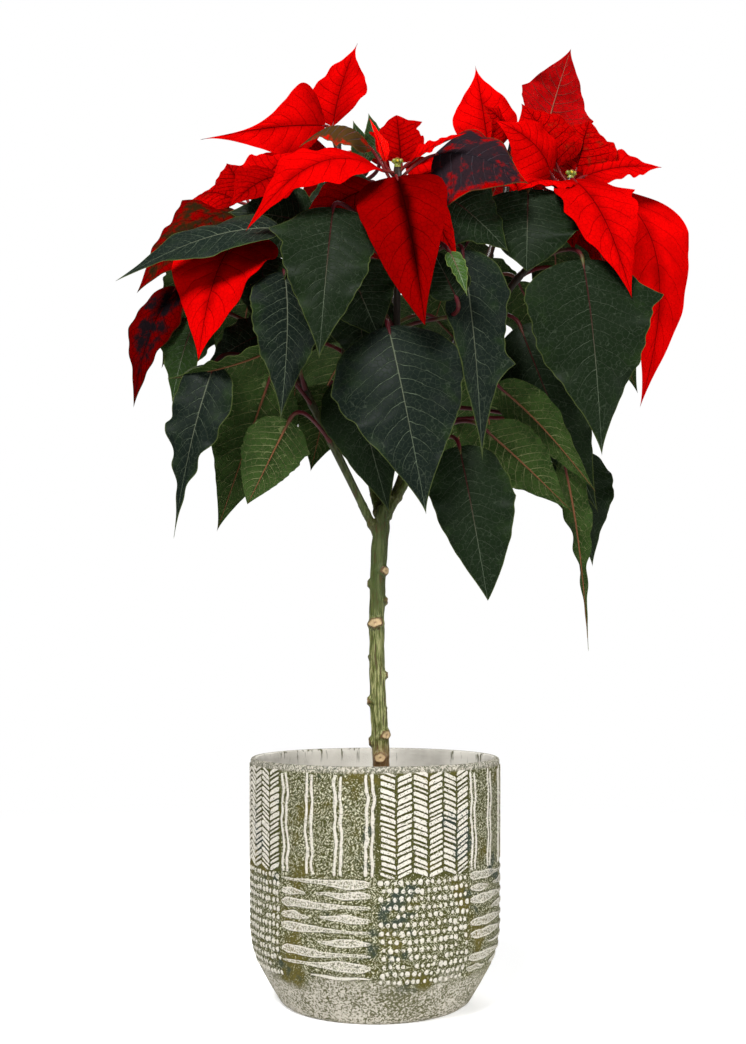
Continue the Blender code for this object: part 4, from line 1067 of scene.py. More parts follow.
def addStalk(shape, blade, seed):
    # The stalk, which runs on under the blade as its rib.
    plan = fineBladeLook
    steps, sides = plan["stalkSteps"], plan["stalkSides"]
    path = stalkCurve(blade, steps)
    radii = [blade.stalk * (1 + plan["foot"] - plan["foot"] * min(1, k / 3)) for k in range(len(path))]
    for k in range(1, steps + 1):
        t = plan["ribEnd"] * k / steps
        above = bladeFrame(blade, t)[1]
        radius = blade.stalk * (plan["rib"] - plan["ribThins"] * (k / steps) ** 0.7)
        path.append(midrib(blade, t) - above * (radius * 0.75 + plan["groove"] * (1 - t)))
        radii.append(radius)
    addRings(shape, tubeRings(path, radii, sides), 2)
    for k in range(len(path)):
        shape["place"] += [((k - steps) / steps, 0.0, 9.0)] * sides
    shape["size"] += [(0.0, 0.0, seed)] * len(path) * sides
    shape["tone"] += [tints[blade.tint]] * len(path) * sides


def makeFoliage(blades):
    print("settled blades:", len(blades))
    leaf = [makeLeafTop(), makeUnder("leafUnder", leafLook, leafLook["mid"]),
            makeStalkFinish("leafStalk", 0.66, stalkLook["leafRed"], leafLook["underRib"])]
    bract = [makeBractTop(), makeUnder("bractUnder", bractLook, bractLook["dark"]),
             makeStalkFinish("bractStalk", 0.72, stalkLook["bractRed"], bractLook["underRib"])]
    for stem in stemPlan:
        for family, title, slot, look, finishes in (("leafy_stem_", "leaves_", "leaf", leafLook, leaf),
                                                    ("bloom_", "bracts_", "bract", bractLook, bract)):
            shape = newShape()
            for number, blade in enumerate(blades):
                if blade.node == family + stem:
                    seed = 3.7 * number
                    grid, marks = bladeGrid(blade, look, number, seed)
                    addBladeSkin(shape, blade, grid, marks, seed)
                    addStalk(shape, blade, seed)
            settlePiece(makePiece(title + stem, shape, finishes), slot, family + stem)
    print("leaves and bracts made")


# Stems

stemLook = {
    "radiusLow": 3.2 * mm, "radiusTop": 2.5 * mm, "sides": 20, "step": 2.0 * mm, "start": 20 * mm,
    "node": 0.5 * mm, "nodeLength": 2.5 * mm, "wave": 9 * mm, "roughness": 0.28, "gloss": 0.38,
    "green": (0.090, 0.115, 0.018, 1), "deep": (0.047, 0.074, 0.013, 1), "brown": (0.080, 0.048, 0.016, 1),
    # The dark colour below is a painted shade for the stems up among the leaves.
    "pale": (0.42, 0.41, 0.18, 1), "foot": (0.22, 0.115, 0.050, 1), "dark": (0.022, 0.011, 0.009, 1),
}


def makeStemFinish(name, streak, brown):
    # Green bark with streaks along the stem. A higher brown makes its foot browner.
    look = stemLook
    finish, shader = newFinish(name, look["roughness"], look["gloss"])
    where = placeOn(shader)
    height = split(where)[2]
    lines = noiseAt(drawnOut(where, 0.08), streak, 5.0, 0.65)
    tone = blend(ramp(height, 0.24, 0.33), look["green"], look["deep"])
    tone = blend(ramp(lines, 0.46, 0.36), tone, look["brown"])
    tone = blend(ramp(lines, 0.46, 0.58) * ramp(height, 0.24, 0.32, 0.85, 0.14), tone, look["pale"])
    low = ramp(height, 0.215, 0.165) + noiseAt(where, 45.0, 3.0) * brown
    tone = blend(ramp(low, 0.5, 1.1, 0.0, 0.85), tone, look["foot"])
    # Painted shade: from 0.36 m up the bark darkens, as among the leaves.
    tone = blend(ramp(height, 0.36, 0.50, 0.0, 0.95), tone, look["dark"])
    return finish, shader, tone, lines


def makeStems(blades):
    look = stemLook
    finish, shader, tone, lines = makeStemFinish("greenStem", 420.0, 0.35)
    paint(shader, tone, lines, 0.5 * mm)
    for stem, path in stemPaths.items():
        length = pathLength(path)
        count = round((length - look["start"]) / look["step"])
        nodeHeights = [b.leavesAt for b in blades if b.stem == stem]
        places, radii = [], []
        for k in range(count + 1):
            distance = look["start"] + (length - look["start"]) * k / count
            p = pathPoint(path, distance)
            share = min(1, distance / (length - bladePlan["crown"]))
            radius = look["radiusLow"] + (look["radiusTop"] - look["radiusLow"]) * share
            swell = sum(math.exp(-((p.z - z) / look["nodeLength"]) ** 2) for z in nodeHeights)
            radius *= 1 + 0.04 * math.sin(distance / look["wave"])
            radii.append(radius + look["node"] * min(1.2, swell))
            places.append(p)
        shape = newShape()
        addRings(shape, tubeRings(places, radii, look["sides"]))
        settlePiece(makePiece("stem_" + stem, shape, [finish]), "bark", "leafy_stem_" + stem, "bloom_" + stem)
    print("stems made")


# Trunk

trunkLook = {
    "line": (((5, 0, 62), 1.0), ((5, 0, 150), 1.0), ((5, 0, 172), 1.02), ((4, 0, 196), 1.1),
             ((2.5, 0, 227), 1.02), ((1.6, 0, 258), 0.96), ((1.3, 0, 286), 0.92),
             ((2, 0, 316), 0.97), ((3.6, 0, 345), 1.02), ((5.5, 0, 364), 0.92), ((7, 0, 376), 0.72)),
    "radius": 6.1 * mm, "sides": 40, "voxel": 0.7 * mm, "foot": 110, "top": 376, "step": 4,
    "ridge": 0.55 * mm, "ridges": 7.0, "ridgeLength": 34 * mm, "lump": 0.6 * mm, "lumpSize": 11 * mm,
    "stubStep": 1.5 * mm, "stubSteps": 20, "knob": 1.3 * mm, "knobAt": 12 * mm, "knobRust": 0.55,
    "scarHeight": 2.3 * mm, "cream": (0.62, 0.45, 0.24, 1), "rust": (0.16, 0.06, 0.025, 1),
}

# Leaf scars: height, direction (0 is +X, -90 the front), radius.
scars = ((327, -40, 3.4), (315, 165, 3.0), (302, 10, 2.6), (286, -100, 4.2),
         (245, 5, 2.6), (226, 180, 3.2), (204, -50, 3.6), (195, 170, 3.4),
         (184, -95, 4.0), (262, 120, 2.8), (336, 80, 3.0), (218, 70, 3.0))


def trunkAt(height):
    line = trunkLook["line"]
    height = min(max(height, line[0][0][2]), line[-1][0][2] - 0.01)
    low, high = next((a, b) for a, b in zip(line, line[1:]) if a[0][2] <= height < b[0][2])
    share = (height - low[0][2]) / (high[0][2] - low[0][2])
    share = share * share * (3 - 2 * share)
    return (Vector(low[0]).lerp(Vector(high[0]), share) * mm,
            (low[1] + (high[1] - low[1]) * share) * trunkLook["radius"])


def knobPlace(number):
    return trunkLook["knobAt"] + 4 * mm * (number % 3)


def makeTrunkMesh():
    # Trunk and the stubs of its forks, grown into one skin.
    look = trunkLook
    shape = newShape()
    middle, radii = zip(*(trunkAt(h) for h in range(look["foot"], look["top"] + 1, look["step"])))
    addRings(shape, tubeRings(middle, radii, look["sides"]))
    for number, path in enumerate(stemPaths.values()):
        stub, thick = [], []
        for k in range(look["stubSteps"] + 1):
            along = k * look["stubStep"]
            swell = math.exp(-((along - knobPlace(number)) / (2 * mm)) ** 2)
            stub.append(pathPoint(path, along))
            thick.append(stemLook["radiusLow"] * (1 + 0.30 * max(0, 1 - k / 8)) + look["knob"] * swell)
        addRings(shape, tubeRings(stub, thick, 20))
    rough = makePiece("trunkRough", shape, [])
    skin = rough.modifiers.new("skin", "REMESH")
    skin.mode, skin.voxel_size = "VOXEL", look["voxel"]
    soften = rough.modifiers.new("soften", "SMOOTH")
    soften.factor, soften.iterations = 0.5, 8
    graph = bpy.context.evaluated_depsgraph_get()
    mesh = bpy.data.meshes.new_from_object(rough.evaluated_get(graph))
    bpy.data.objects.remove(rough)
    mesh.name = "trunk_bark"
    return mesh


def barkRelief(points, normals):
    # How far each point is lifted, and how much it shows of a scar's face and of its rim.
    look = trunkLook
    count = len(points)
    lift, face, rim = np.zeros(count), np.zeros(count), np.zeros(count)
    for k in range(count):
        turn = math.atan2(normals[k][1], normals[k][0])
        spread = look["ridges"] * 0.5
        where = Vector((spread * math.cos(turn), spread * math.sin(turn), points[k][2] / look["ridgeLength"]))
        lift[k] = look["ridge"] * noise.fractal(where, 0.6, 2.1, 3)
        lift[k] += look["lump"] * noise.noise(Vector(points[k]) / look["lumpSize"])
    for height, turn, radius in scars:
        out = np.array([math.cos(math.radians(turn)), math.sin(math.radians(turn)), 0])
        centre, thick = trunkAt(height)
        away = points - (np.array(centre) + out * thick)
        flat = away - np.outer(away @ out, out)
        d = np.linalg.norm(flat * np.array([1, 1, 1.18]), axis=1) / (radius * mm)
        around = np.arctan2(flat[:, 2], flat @ np.array([-out[1], out[0], 0]))
        d *= 1 + 0.10 * np.sin(2 * around + height) + 0.07 * np.sin(5 * around + 2 * height)
        near = (normals @ out > 0.15) & (d < 1.9)
        bulge = np.clip((1.85 - d) / 1.0, 0, 1) ** 1.5
        dimple = 0.45 * np.exp(-(d / 0.28) ** 2) + 0.22 * np.exp(-((d - 0.62) / 0.16) ** 2)
        lift += np.where(near, look["scarHeight"] * (bulge - dimple * (d < 1)), 0)
        face = np.maximum(face, np.where(near, np.clip((0.86 - d) / 0.08, 0, 1), 0))
        rim = np.maximum(rim, np.where(near, np.exp(-((d - 0.98) / 0.14) ** 2) + np.exp(-(d / 0.2) ** 2), 0))
    for number, path in enumerate(stemPaths.values()):
        knob = np.array(pathPoint(path, knobPlace(number)))
        ring = np.exp(-(np.linalg.norm(points - knob, axis=1) / (6.5 * mm)) ** 4)
        rim = np.maximum(rim, look["knobRust"] * ring * np.clip(lift / (0.4 * mm), 0.3, 1))
    return lift, face, np.clip(rim, 0, 1)


def makeTrunk():
    mesh = makeTrunkMesh()
    count = len(mesh.vertices)
    points, normals = np.empty(count * 3), np.empty(count * 3)
    mesh.vertices.foreach_get("co", points)
    mesh.vertices.foreach_get("normal", normals)
    points, normals = points.reshape(-1, 3), normals.reshape(-1, 3)
    lift, face, rim = barkRelief(points, normals)
    mesh.vertices.foreach_set("co", (points + normals * lift[:, None]).ravel())
    marks = np.column_stack([face, rim, np.zeros(count)]).astype(np.float32)
    mesh.attributes.new("markTone", "FLOAT_VECTOR", "POINT").data.foreach_set("vector", marks.ravel())
    finish, shader, tone, lines = makeStemFinish("trunkBark", 760.0, 0.5)
    scarred, rusty, _ = split(markOn(shader, "markTone"))
    tone = blend(scarred, tone, trunkLook["cream"])
    paint(shader, blend(rusty * 0.8, tone, trunkLook["rust"]), lines, 1.4 * mm)
    mesh.materials.clear()
    mesh.materials.append(finish)
    mesh.shade_smooth()
    settlePiece(addObject("trunk_bark", mesh), "bark", "trunk")
    print("trunk made:", count, "points")


# Flowers

flowerLook = {
    "green": (0.15, 0.22, 0.028, 1), "tip": (0.34, 0.32, 0.045, 1), "gland": (0.66, 0.48, 0.03, 1),
    "red": (0.45, 0.02, 0.02, 1),
    "cup": ((0.7, 0.0), (1.35, 0.7), (1.75, 1.9), (1.8, 3.0), (1.45, 4.0), (1.0, 4.5), (0.8, 4.2)),
    "sides": 14, "around": 4, "lean": 0.75, "outer": 0.86, "tips": 3,
}


def makeFlowerFinishes():
    cup, shader = newFinish("flowerCup", 0.4)
    cloud = noiseAt(placeOn(shader), 500.0, 2.0)
    paint(shader, blend(ramp(cloud, 0.4, 0.65), flowerLook["green"], flowerLook["tip"]))
    gland, shader = newFinish("nectarGland", 0.2)
    paint(shader, flowerLook["gland"])
    tip, shader = newFinish("flowerTip", 0.45)
    paint(shader, flowerLook["red"])
    return [cup, gland, tip]


def addFlower(shape, start, lean, top, number):
    # A cup with its red tips and, on its outer side, one gland.
    look = flowerLook
    side = lean.orthogonal().normalized()
    other = lean.cross(side)
    size = look["outer"] if number else 1.0
    outs = [side * math.cos(turn) + other * math.sin(turn) for turn in fullTurn(look["sides"])]
    addRings(shape, [[start + lean * (height + 0.9) * mm + out * radius * size * mm for out in outs]
                     for radius, height in look["cup"]])
    mouth = start + lean * 5.0 * mm
    for s in range(look["tips"]):
        turn = 2.1 * s + number
        out = side * math.cos(turn) + other * math.sin(turn)
        tip = [mouth + out * 0.3 * mm, mouth + out * 0.55 * mm + lean * 0.9 * mm]
        addRings(shape, tubeRings(tip, [0.22 * mm, 0.32 * mm], 6), 2)
    out = (lean - top * lean.dot(top)).normalized() if number else side
    lip = start + lean * 3.4 * mm + out * 1.5 * mm
    gland = [lip - out * 0.3 * mm, lip + out * 0.25 * mm, lip + out * 0.5 * mm]
    addRings(shape, tubeRings(gland, [0.5 * mm, 0.85 * mm, 0.6 * mm], 10), 1)


def makeFlowers():
    finishes = makeFlowerFinishes()
    for stem, path in stemPaths.items():
        shape = newShape()
        top = (path[-1] - path[-4]).normalized()
        foot = path[-1] - top * 1.5 * mm
        addRings(shape, tubeRings([foot, foot + top * 2.4 * mm, foot + top * 4 * mm],
                                  [2.3 * mm, 2.6 * mm, 2.0 * mm], 12))
        leans = [top]
        for turn in fullTurn(flowerLook["around"]):
            out = Vector((math.cos(turn), math.sin(turn), 0))
            leans.append((top + out * flowerLook["lean"]).normalized())
        for number, lean in enumerate(leans):
            addFlower(shape, foot + top * 2.6 * mm, lean, top, number)
        settlePiece(makePiece("flower_cups_" + stem, shape, finishes), "flower", "flowers_" + stem)
    print("flowers made")


# Soil

soilLook = {
    "top": 150.0, "mound": 5.0, "radius": 88.3, "under": 120, "rings": 44, "around": 110, "rough": 1.3,
    "crumbs": 420, "perliteEach": 9, "trunkX": 5, "trunkRoom": 8.5,
    "dark": (0.018, 0.011, 0.007, 1), "brown": (0.075, 0.045, 0.025, 1), "perlite": (0.55, 0.52, 0.47, 1),
}


def soilHeight(x, y):
    far = min(1, math.hypot(x, y) / soilLook["radius"])
    bump = noise.fractal(Vector((x / 9, y / 9, 0)), 0.7, 2.1, 4) * soilLook["rough"]
    return soilLook["top"] + soilLook["mound"] * (1 - far * far) - 1.2 + bump * (1 - 0.5 * far)


def addSoilBed(shape):
    look, around = soilLook, soilLook["around"]
    turns = fullTurn(around)
    points = [Vector((0, 0, soilHeight(0, 0))) * mm]
    for i in range(1, look["rings"] + 1):
        radius = look["radius"] * i / look["rings"]
        for x, y in ((radius * math.cos(turn), radius * math.sin(turn)) for turn in turns):
            points.append(Vector((x, y, soilHeight(x, y))) * mm)
    low = len(points)
    points += [Vector((look["radius"] * math.cos(turn), look["radius"] * math.sin(turn), look["under"])) * mm
               for turn in turns]
    faces = [(0, 1 + s, 1 + (s + 1) % around) for s in range(around)]
    for i in range(look["rings"]):
        a, b = 1 + i * around, 1 + (i + 1) * around
        faces += [(a + s, b + s, b + (s + 1) % around, a + (s + 1) % around) for s in range(around)]
    shape["points"] += points
    addFaces(shape, 0, *faces, tuple(low + s for s in reversed(range(around))))


def makeSoil():
    look = soilLook
    soil, shader = newFinish("soilCrumbs", 0.95)
    grain = placeGroup(speckGroup, Where=placeOn(shader), Scale=900.0)["Grain"]
    paint(shader, blend(grain, look["dark"], look["brown"]), grain, 2 * mm)
    white, shader = newFinish("perlite", 0.9)
    paint(shader, look["perlite"])
    shape = newShape()
    addSoilBed(shape)
    draw = random.Random(5)
    for k in range(look["crumbs"]):
        radius = (look["radius"] - 5) * math.sqrt(draw.random())
        turn = draw.uniform(0, 2 * math.pi)
        x, y = radius * math.cos(turn), radius * math.sin(turn)
        if math.hypot(x - look["trunkX"], y) < look["trunkRoom"]:
            continue
        size = draw.uniform(0.9, 2.6)
        centre = Vector((x, y, soilHeight(x, y) + 0.3 * size)) * mm
        axis = Vector((draw.gauss(0, 1), draw.gauss(0, 1), draw.gauss(0, 0.5))).normalized()
        path = [centre + axis * h * size * mm for h in (-0.8, -0.45, 0.1, 0.6, 0.85)]
        radii = [share * size * mm * draw.uniform(0.7, 1.0) for share in (0.25, 0.7, 0.8, 0.6, 0.2)]
        addRings(shape, tubeRings(path, radii, 6), int(k % look["perliteEach"] == 0))
    settlePiece(makePiece("soil_surface", shape, [soil, white], 40), "soil", "soil")
    print("soil made")


# Pot

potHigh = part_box("pot")[1]
potLook = {
    "radius": potHigh.x / mm, "height": potHigh.z / mm, "ground": potHigh.x / mm - 0.8, "foot": 70.0,
    "wall": 6.0, "floor": 10.0, "shoulder": 44.0, "sides": 240, "facet": 3.5, "wobble": 0.12, "lift": 0.78,
    "bandTop": 180.0, "bandMiddle": 107.5, "bandLow": 33.0, "panel": 45.0, "panels": 8, "firstPanel": -45.0,
    "pale": (0.72, 0.68, 0.60, 1), "olive": (0.072, 0.072, 0.015, 1), "ochre": (0.135, 0.110, 0.018, 1),
    "teal": (0.030, 0.047, 0.038, 1), "inside": (0.86, 0.83, 0.75, 1), "grey": (0.60, 0.56, 0.48, 1),
    "insideGrey": (0.66, 0.63, 0.56, 1), "stroke": (0.72, 0.70, 0.53, 1), "shade": (0.040, 0.042, 0.014, 1),
    "strokeLength": 3.0, "strokeBreadth": 0.95, "strokeLevel": (0.525, 0.605), "strokeFewer": (0.010, 0.085),
    "roughness": 0.85, "gloss": 0.2,
}
herringboneLook = {"inset": 2.4, "margin": 2.6, "columns": 6, "bars": 19, "slant": 4.0, "barGap": 1.25,
                   "columnGap": 1.9, "steps": 8}
dotLook = {"inset": 3.2, "margin": 5.4, "rows": 13, "columns": 15, "size": 1.62, "tall": 1.08, "sides": 8,
           "missing": 0.5}
lineLook = {"inset": 2.6, "margin": 5.0, "pairs": 4, "apart": 3.9, "width": 2.2, "sway": 2.2, "low": 1.5,
            "steps": 60}
barLook = {"inset": 0.6, "margin": 2.6, "rows": 9, "ridge": 1.5, "dip": 0.66, "steps": 40,
           "kinds": ("whole", "halves", "whole", "halves", "whole", "right", "whole", "whole", "thin")}
degreesEach = 180 / math.pi / potLook["radius"]  # for each millimetre round the wall


def onPot(turn, height, lift=0.0):
    # A point on the pot's wall at an angle seen from the front, a height and a lift off it.
    radius = wallRadius(height) + lift
    angle = math.radians(turn)
    return Vector((radius * math.sin(angle), -radius * math.cos(angle), height)) * mm


def potOuter():
    radius, foot, shoulder = potLook["ground"], potLook["foot"], potLook["shoulder"]
    return [(foot - 1.5, 0), (foot + 2.2, 2.6), (foot + 10.6, 16.7), (radius - 6, 0.7 * shoulder),
            (radius - 1.8, shoulder), (radius, shoulder + 14), (radius, potLook["height"] - 4)]


def wallRadius(height):
    for (r0, z0), (r1, z1) in zip(potOuter(), potOuter()[1:]):
        if height <= z1:
            share = max(0, (height - z0) / (z1 - z0))
            return r0 + (r1 - r0) * share
    return potLook["ground"]


def makeCement():
    look = potLook
    rim, band = look["bandTop"] * mm, look["bandMiddle"] * mm
    inner = (look["radius"] - look["wall"]) * mm
    finish, shader = newFinish("potCement", look["roughness"], look["gloss"])
    where = placeOn(shader)
    east, north, height = split(where)
    turn = calc("ARCTAN2", east, north * -1.0)
    wall = join(turn * look["radius"], height * 1000.0)
    lifted, hollow, _ = split(markOn(shader, "markTone"))
    grain = placeGroup(speckGroup, Where=where, Scale=800.0)["Grain"]
    cloud = noiseAt(where, 24.0, 3.0, 0.6)
    smudge = noiseAt(where, 34.0, 3.0, 0.65)
    chips = noiseAt(where, 1000.0, 2.0, 0.6)
    dust = noiseAt(where, 620.0, 4.0, 0.75)

    # Two-tone ground with dark smudges, and dry strokes over it, fewer behind the herringbone.
    bare = ramp(cloud, 0.54, 0.70)
    ground = blend(bare, look["olive"], look["ochre"])
    ground = blend(ramp(chips, 0.38, 0.62, 0.0, 0.6), ground, look["shade"])
    underRim = ramp(height, rim - mm, rim + 1.5 * mm) * ramp(dust, 0.45, 0.56, 0.0, 0.5)
    dark = larger(ramp(smudge, 0.56, 0.66, 0.0, 0.85), underRim)
    ground = blend(dark, ground, look["teal"])
    figured = fraction((turn + math.pi / 4) / (math.pi / 2)) > 0.5
    level = ramp(bare, 0.0, 1.0, *look["strokeLevel"]) + dark * 0.07
    level = level + figured * ramp(height, band - mm, band + mm, *look["strokeFewer"])
    stroke = placeGroup(strokeGroup, Wall=wall, Length=look["strokeLength"], Breadth=look["strokeBreadth"],
                        Level=level)["Stroke"]
    tone = blend(stroke, ground, look["stroke"])

    # Pale figures, chipped and worn more in their hollow middles, and a pale lip.
    worn = chips + hollow * -0.125 - dark * 0.05
    raised = ramp(lifted, 0.38, 0.62) * ramp(worn, 0.36, 0.42, 0.12, 1.0)
    tone = blend(raised, tone, blend(ramp(grain, 0.35, 0.7, 0.0, 0.4), look["pale"], look["grey"]))
    lip = ramp(height, rim - mm, rim + 1.2 * mm) * ramp(dust, 0.42, 0.54, 0.95, 0.15)
    tone = blend(lip, tone, look["grey"])

    foot = ramp(height + (cloud - 0.5) * 0.06, 0.040, 0.026)
    spread = ramp(dust + (smudge - 0.5) * 0.30, 0.47, 0.53, 0.0, 0.93)
    tone = blend(foot * (1.0 - raised), tone, blend(spread, look["grey"], look["olive"]))

    within = ramp(lengthOf(join(east, north)), inner + 2.5 * mm, inner + 0.5 * mm) * (height > 0.1)
    drip = ramp(noiseAt(drawnOut(where, 0.12), 150.0, 4.0, 0.7), 0.585, 0.64)
    drip = drip * ramp(height, rim - 10 * mm, rim + 4 * mm)
    inside = blend(ramp(cloud, 0.35, 0.65), look["inside"], look["insideGrey"])
    tone = blend(within, tone, blend(drip, inside, look["olive"]))
    paint(shader, tone, stroke * 0.6 + grain, 0.6 * mm, 0.8)
    return finish


def makePotWall(finish):
    look, top, radius = potLook, potLook["height"], potLook["ground"]
    inner = look["radius"] - look["wall"]
    profile = [(0.01, 0)] + potOuter()
    profile += [(radius - 0.1, top - 1.8), (radius - 0.7, top - 0.6), (radius - 1.7, top),
                (inner + 1.6, top), (inner + 0.6, top - 0.6), (inner, top - 2.2)]
    profile += [(inner, z) for z in (170, 150, 120, 90, 56)]
    profile += [(inner - 4, 38), (look["foot"] - 9.6, look["floor"]), (0.01, look["floor"])]
    fine = [profile[0]]
    for (r0, z0), (r1, z1) in zip(profile, profile[1:]):
        pieces = max(1, round(math.hypot(r1 - r0, z1 - z0) / look["facet"]))
        fine += [(r0 + (r1 - r0) * k / pieces, z0 + (z1 - z0) * k / pieces) for k in range(1, pieces + 1)]
    rings = []
    for r, z in fine:
        ring = []
        for turn in fullTurn(look["sides"]):
            where = Vector((r * math.cos(turn) / 20, r * math.sin(turn) / 20, z / 20))
            uneven = r + (look["wobble"] * noise.noise(where) if 1 < z < top - 3 and r > 60 else 0)
            ring.append(Vector((uneven * math.cos(turn), uneven * math.sin(turn), z)) * mm)
        rings.append(ring)
    shape = newShape()
    addRings(shape, rings)
    settlePiece(makePiece("pot_wall", shape, [finish], 35), "cement", "pot")


def addFigure(shape, rings, middle=()):
    # A raised figure on the wall, from rings of (angle, height, lift). Its finish reads the
    # share of the lift, and 1 for the points of its hollow middle.
    addRings(shape, [[onPot(*point) for point in ring] for ring in rings])
    for ring in rings:
        for k, (_, _, lift) in enumerate(ring):
            shape["tone"].append((max(0.0, lift) / potLook["lift"], float(k in middle), 0.0))


def waver(seed, place):
    return noise.noise(Vector((seed, place, 0)))


def addHerringbone(shape, draw, panel, left):
    look, bottom, top = herringboneLook, potLook["bandMiddle"], potLook["bandTop"]
    lift = potLook["lift"]
    width = (potLook["panel"] - look["margin"]) / look["columns"]
    for column in range(look["columns"]):
        start = left + look["inset"] + column * width
        end = start + width - look["columnGap"] * degreesEach
        rise = look["slant"] * (-1 if column % 2 == 0 else 1) * draw.uniform(0.85, 1.1)
        z = bottom + 0.6 + draw.uniform(0, 1.5)
        while z < top - 1.0:
            pitch = (top - bottom) / look["bars"] * draw.uniform(0.72, 1.28)
            thick = pitch - look["barGap"] * draw.uniform(0.75, 1.2)
            jitter = draw.uniform(-0.4, 0.4)
            first, last = start + draw.uniform(-0.3, 0.3), draw.uniform(-0.3, 0.3)
            rings = []
            for k in range(look["steps"] + 1):
                share = k / look["steps"]
                turn = first + (end + last - first) * share
                low = z + rise * (share - 0.5) + jitter * share + draw.uniform(-0.13, 0.13)
                high = low + (thick + draw.uniform(-0.16, 0.16)) * (0.8 if k in (0, look["steps"]) else 1)
                low, high = max(low, bottom), min(high, top + 0.6)
                if high - low > 0.6:
                    soft = min(0.35, 0.25 * (high - low))
                    rings.append([(turn, height, out) for height, out in (
                        (low, -0.5), (low, 0.35 * lift), (low + soft, lift),
                        (high - soft, lift), (high, 0.35 * lift), (high, -0.5))])
            if len(rings) > 3:
                addFigure(shape, rings)
            z += pitch


def addDots(shape, draw, panel, left):
    look = dotLook
    wide, tall = potLook["panel"] - look["margin"], potLook["bandMiddle"] - potLook["bandLow"] - 4.5
    for row in range(look["rows"]):
        slide = draw.uniform(-0.7, 0.7)
        for column in range(look["columns"]):
            turn = left + look["inset"] + slide + wide * column / (look["columns"] - 1)
            turn += draw.uniform(-0.35, 0.35)
            z = potLook["bandMiddle"] - 3.0 - tall * row / (look["rows"] - 1) + draw.uniform(-0.5, 0.5)
            if noise.noise(Vector((turn / 9, z / 12, panel))) > look["missing"]:
                continue
            size = look["size"] * draw.uniform(0.72, 1.15)
            point, skew = draw.uniform(0, 2 * math.pi), draw.uniform(0.15, 0.5)
            rings = []
            for share, lift in ((1.0, -0.5), (1.0, 0.3), (0.78, 0.68), (0.35, potLook["lift"])):
                rings.append([])
                for angle in fullTurn(look["sides"]):
                    uneven = 1.0 + skew * max(0, math.cos(angle - point)) - 0.12 * math.cos(3 * angle)
                    reach = size * share * uneven
                    rings[-1].append((turn + math.degrees(reach * math.cos(angle) / potLook["radius"]),
                                      z + look["tall"] * reach * math.sin(angle), lift))
            addFigure(shape, rings)


def addLines(shape, draw, panel, left):
    look, lift = lineLook, potLook["lift"]
    bottom = potLook["bandMiddle"] + look["low"]
    for pair in range(look["pairs"]):
        middle = left + look["inset"] + pair * (potLook["panel"] - look["margin"]) / (look["pairs"] - 1)
        drift = draw.uniform(0, 50)
        for line in (-1, 1):
            seed = draw.uniform(0, 50)
            top = potLook["bandTop"] - draw.uniform(0, 2.5)
            rings = []
            for k in range(look["steps"] + 1):
                z = bottom + (top - bottom) * k / look["steps"]
                sway = look["sway"] * (waver(drift, z / 17) + 0.45 * waver(seed, z / 8))
                swell = 1 + 0.35 * waver(seed + 9, z / 5) + 0.5 * max(0, waver(seed + 20, z / 14))
                turn = middle + (line * look["apart"] / 2 * 1.1 + sway) * degreesEach
                half = look["width"] / 2 * swell * degreesEach * (0.7 if k in (0, look["steps"]) else 1)
                rings.append([(turn + half * side, z, out) for side, out in (
                    (1, -0.5), (1, 0.4 * lift), (0.5, lift), (-0.5, lift), (-1, 0.4 * lift), (-1, -0.5))])
            addFigure(shape, rings)


def addBars(shape, draw, panel, left):
    # Long uneven bars, thick at one end, with a rim round a lower, worn middle.
    look, lift = barLook, potLook["lift"]
    left += look["inset"]
    wide = potLook["panel"] - look["margin"]
    pitch = (potLook["bandMiddle"] - potLook["bandLow"]) / look["rows"]
    for row in range(look["rows"]):
        centre = potLook["bandMiddle"] - pitch * (row + 0.45)
        kind = look["kinds"][(row + panel) % len(look["kinds"])]
        middle = draw.uniform(0.40, 0.55)
        stretches = {"whole": ((0.0, 1.0),), "thin": ((0.35, 1.0),), "right": ((middle, 1.0),),
                     "halves": ((0.0, middle - 0.12), (middle, 1.0))}[kind]
        for first, last in stretches:
            fat = draw.choice((0.15, 0.25, 0.8)) if kind == "whole" else draw.uniform(0.3, 0.7)
            bulk = {"whole": 2.5, "thin": 0.7}.get(kind, 2.0)
            seed = draw.uniform(0, 60)
            steps = round(look["steps"] * (last - first))
            rings = []
            for k in range(steps + 1):
                share = k / steps
                turn = left + wide * (first + (last - first) * share)
                ends = min(1, 9 * share + 0.45, 9 * (1 - share) + 0.45)
                tall = 0.95 + bulk * math.exp(-((share - fat) / 0.33) ** 2)
                tall *= 1 + 0.35 * waver(seed, share * 7 * (last - first))
                tall = ends * min(tall, 0.47 * pitch) * (0.75 if kind == "thin" else 1)
                z = centre + 1.1 * waver(seed + 7, share * 3) - 0.8 * (share - 0.5)
                rim = min(look["ridge"], 0.5 * tall)
                dip = lift * (look["dip"] if tall > 1.7 else 1.0)
                low, high = z - tall, z + tall
                rings.append([(turn, height, out) for height, out in (
                    (low, -0.5), (low, 0.3), (low + 0.4 * rim, lift), (low + rim, dip), (z, dip),
                    (high - rim, dip), (high - 0.4 * rim, lift), (high, 0.3), (high, -0.5))])
            addFigure(shape, rings, (3, 4, 5) if bulk > 1 else ())


def makePot():
    finish = makeCement()
    makePotWall(finish)
    # Each kind of figure, its seed, the first of its panels, and the angle up to which it is smooth.
    for name, addPanel, seed, first, smooth in (
            ("herringbone", addHerringbone, 31, 1, 30), ("dots", addDots, 32, 1, 50),
            ("lines", addLines, 33, 0, 40), ("bars", addBars, 34, 0, 40)):
        shape, draw = newShape(), random.Random(seed)
        for panel in range(first, potLook["panels"], 2):
            addPanel(shape, draw, panel, potLook["firstPanel"] + panel * potLook["panel"])
        settlePiece(makePiece("pot_" + name, shape, [finish], smooth), "cement", "pot")
    print("pot made")


# Stage

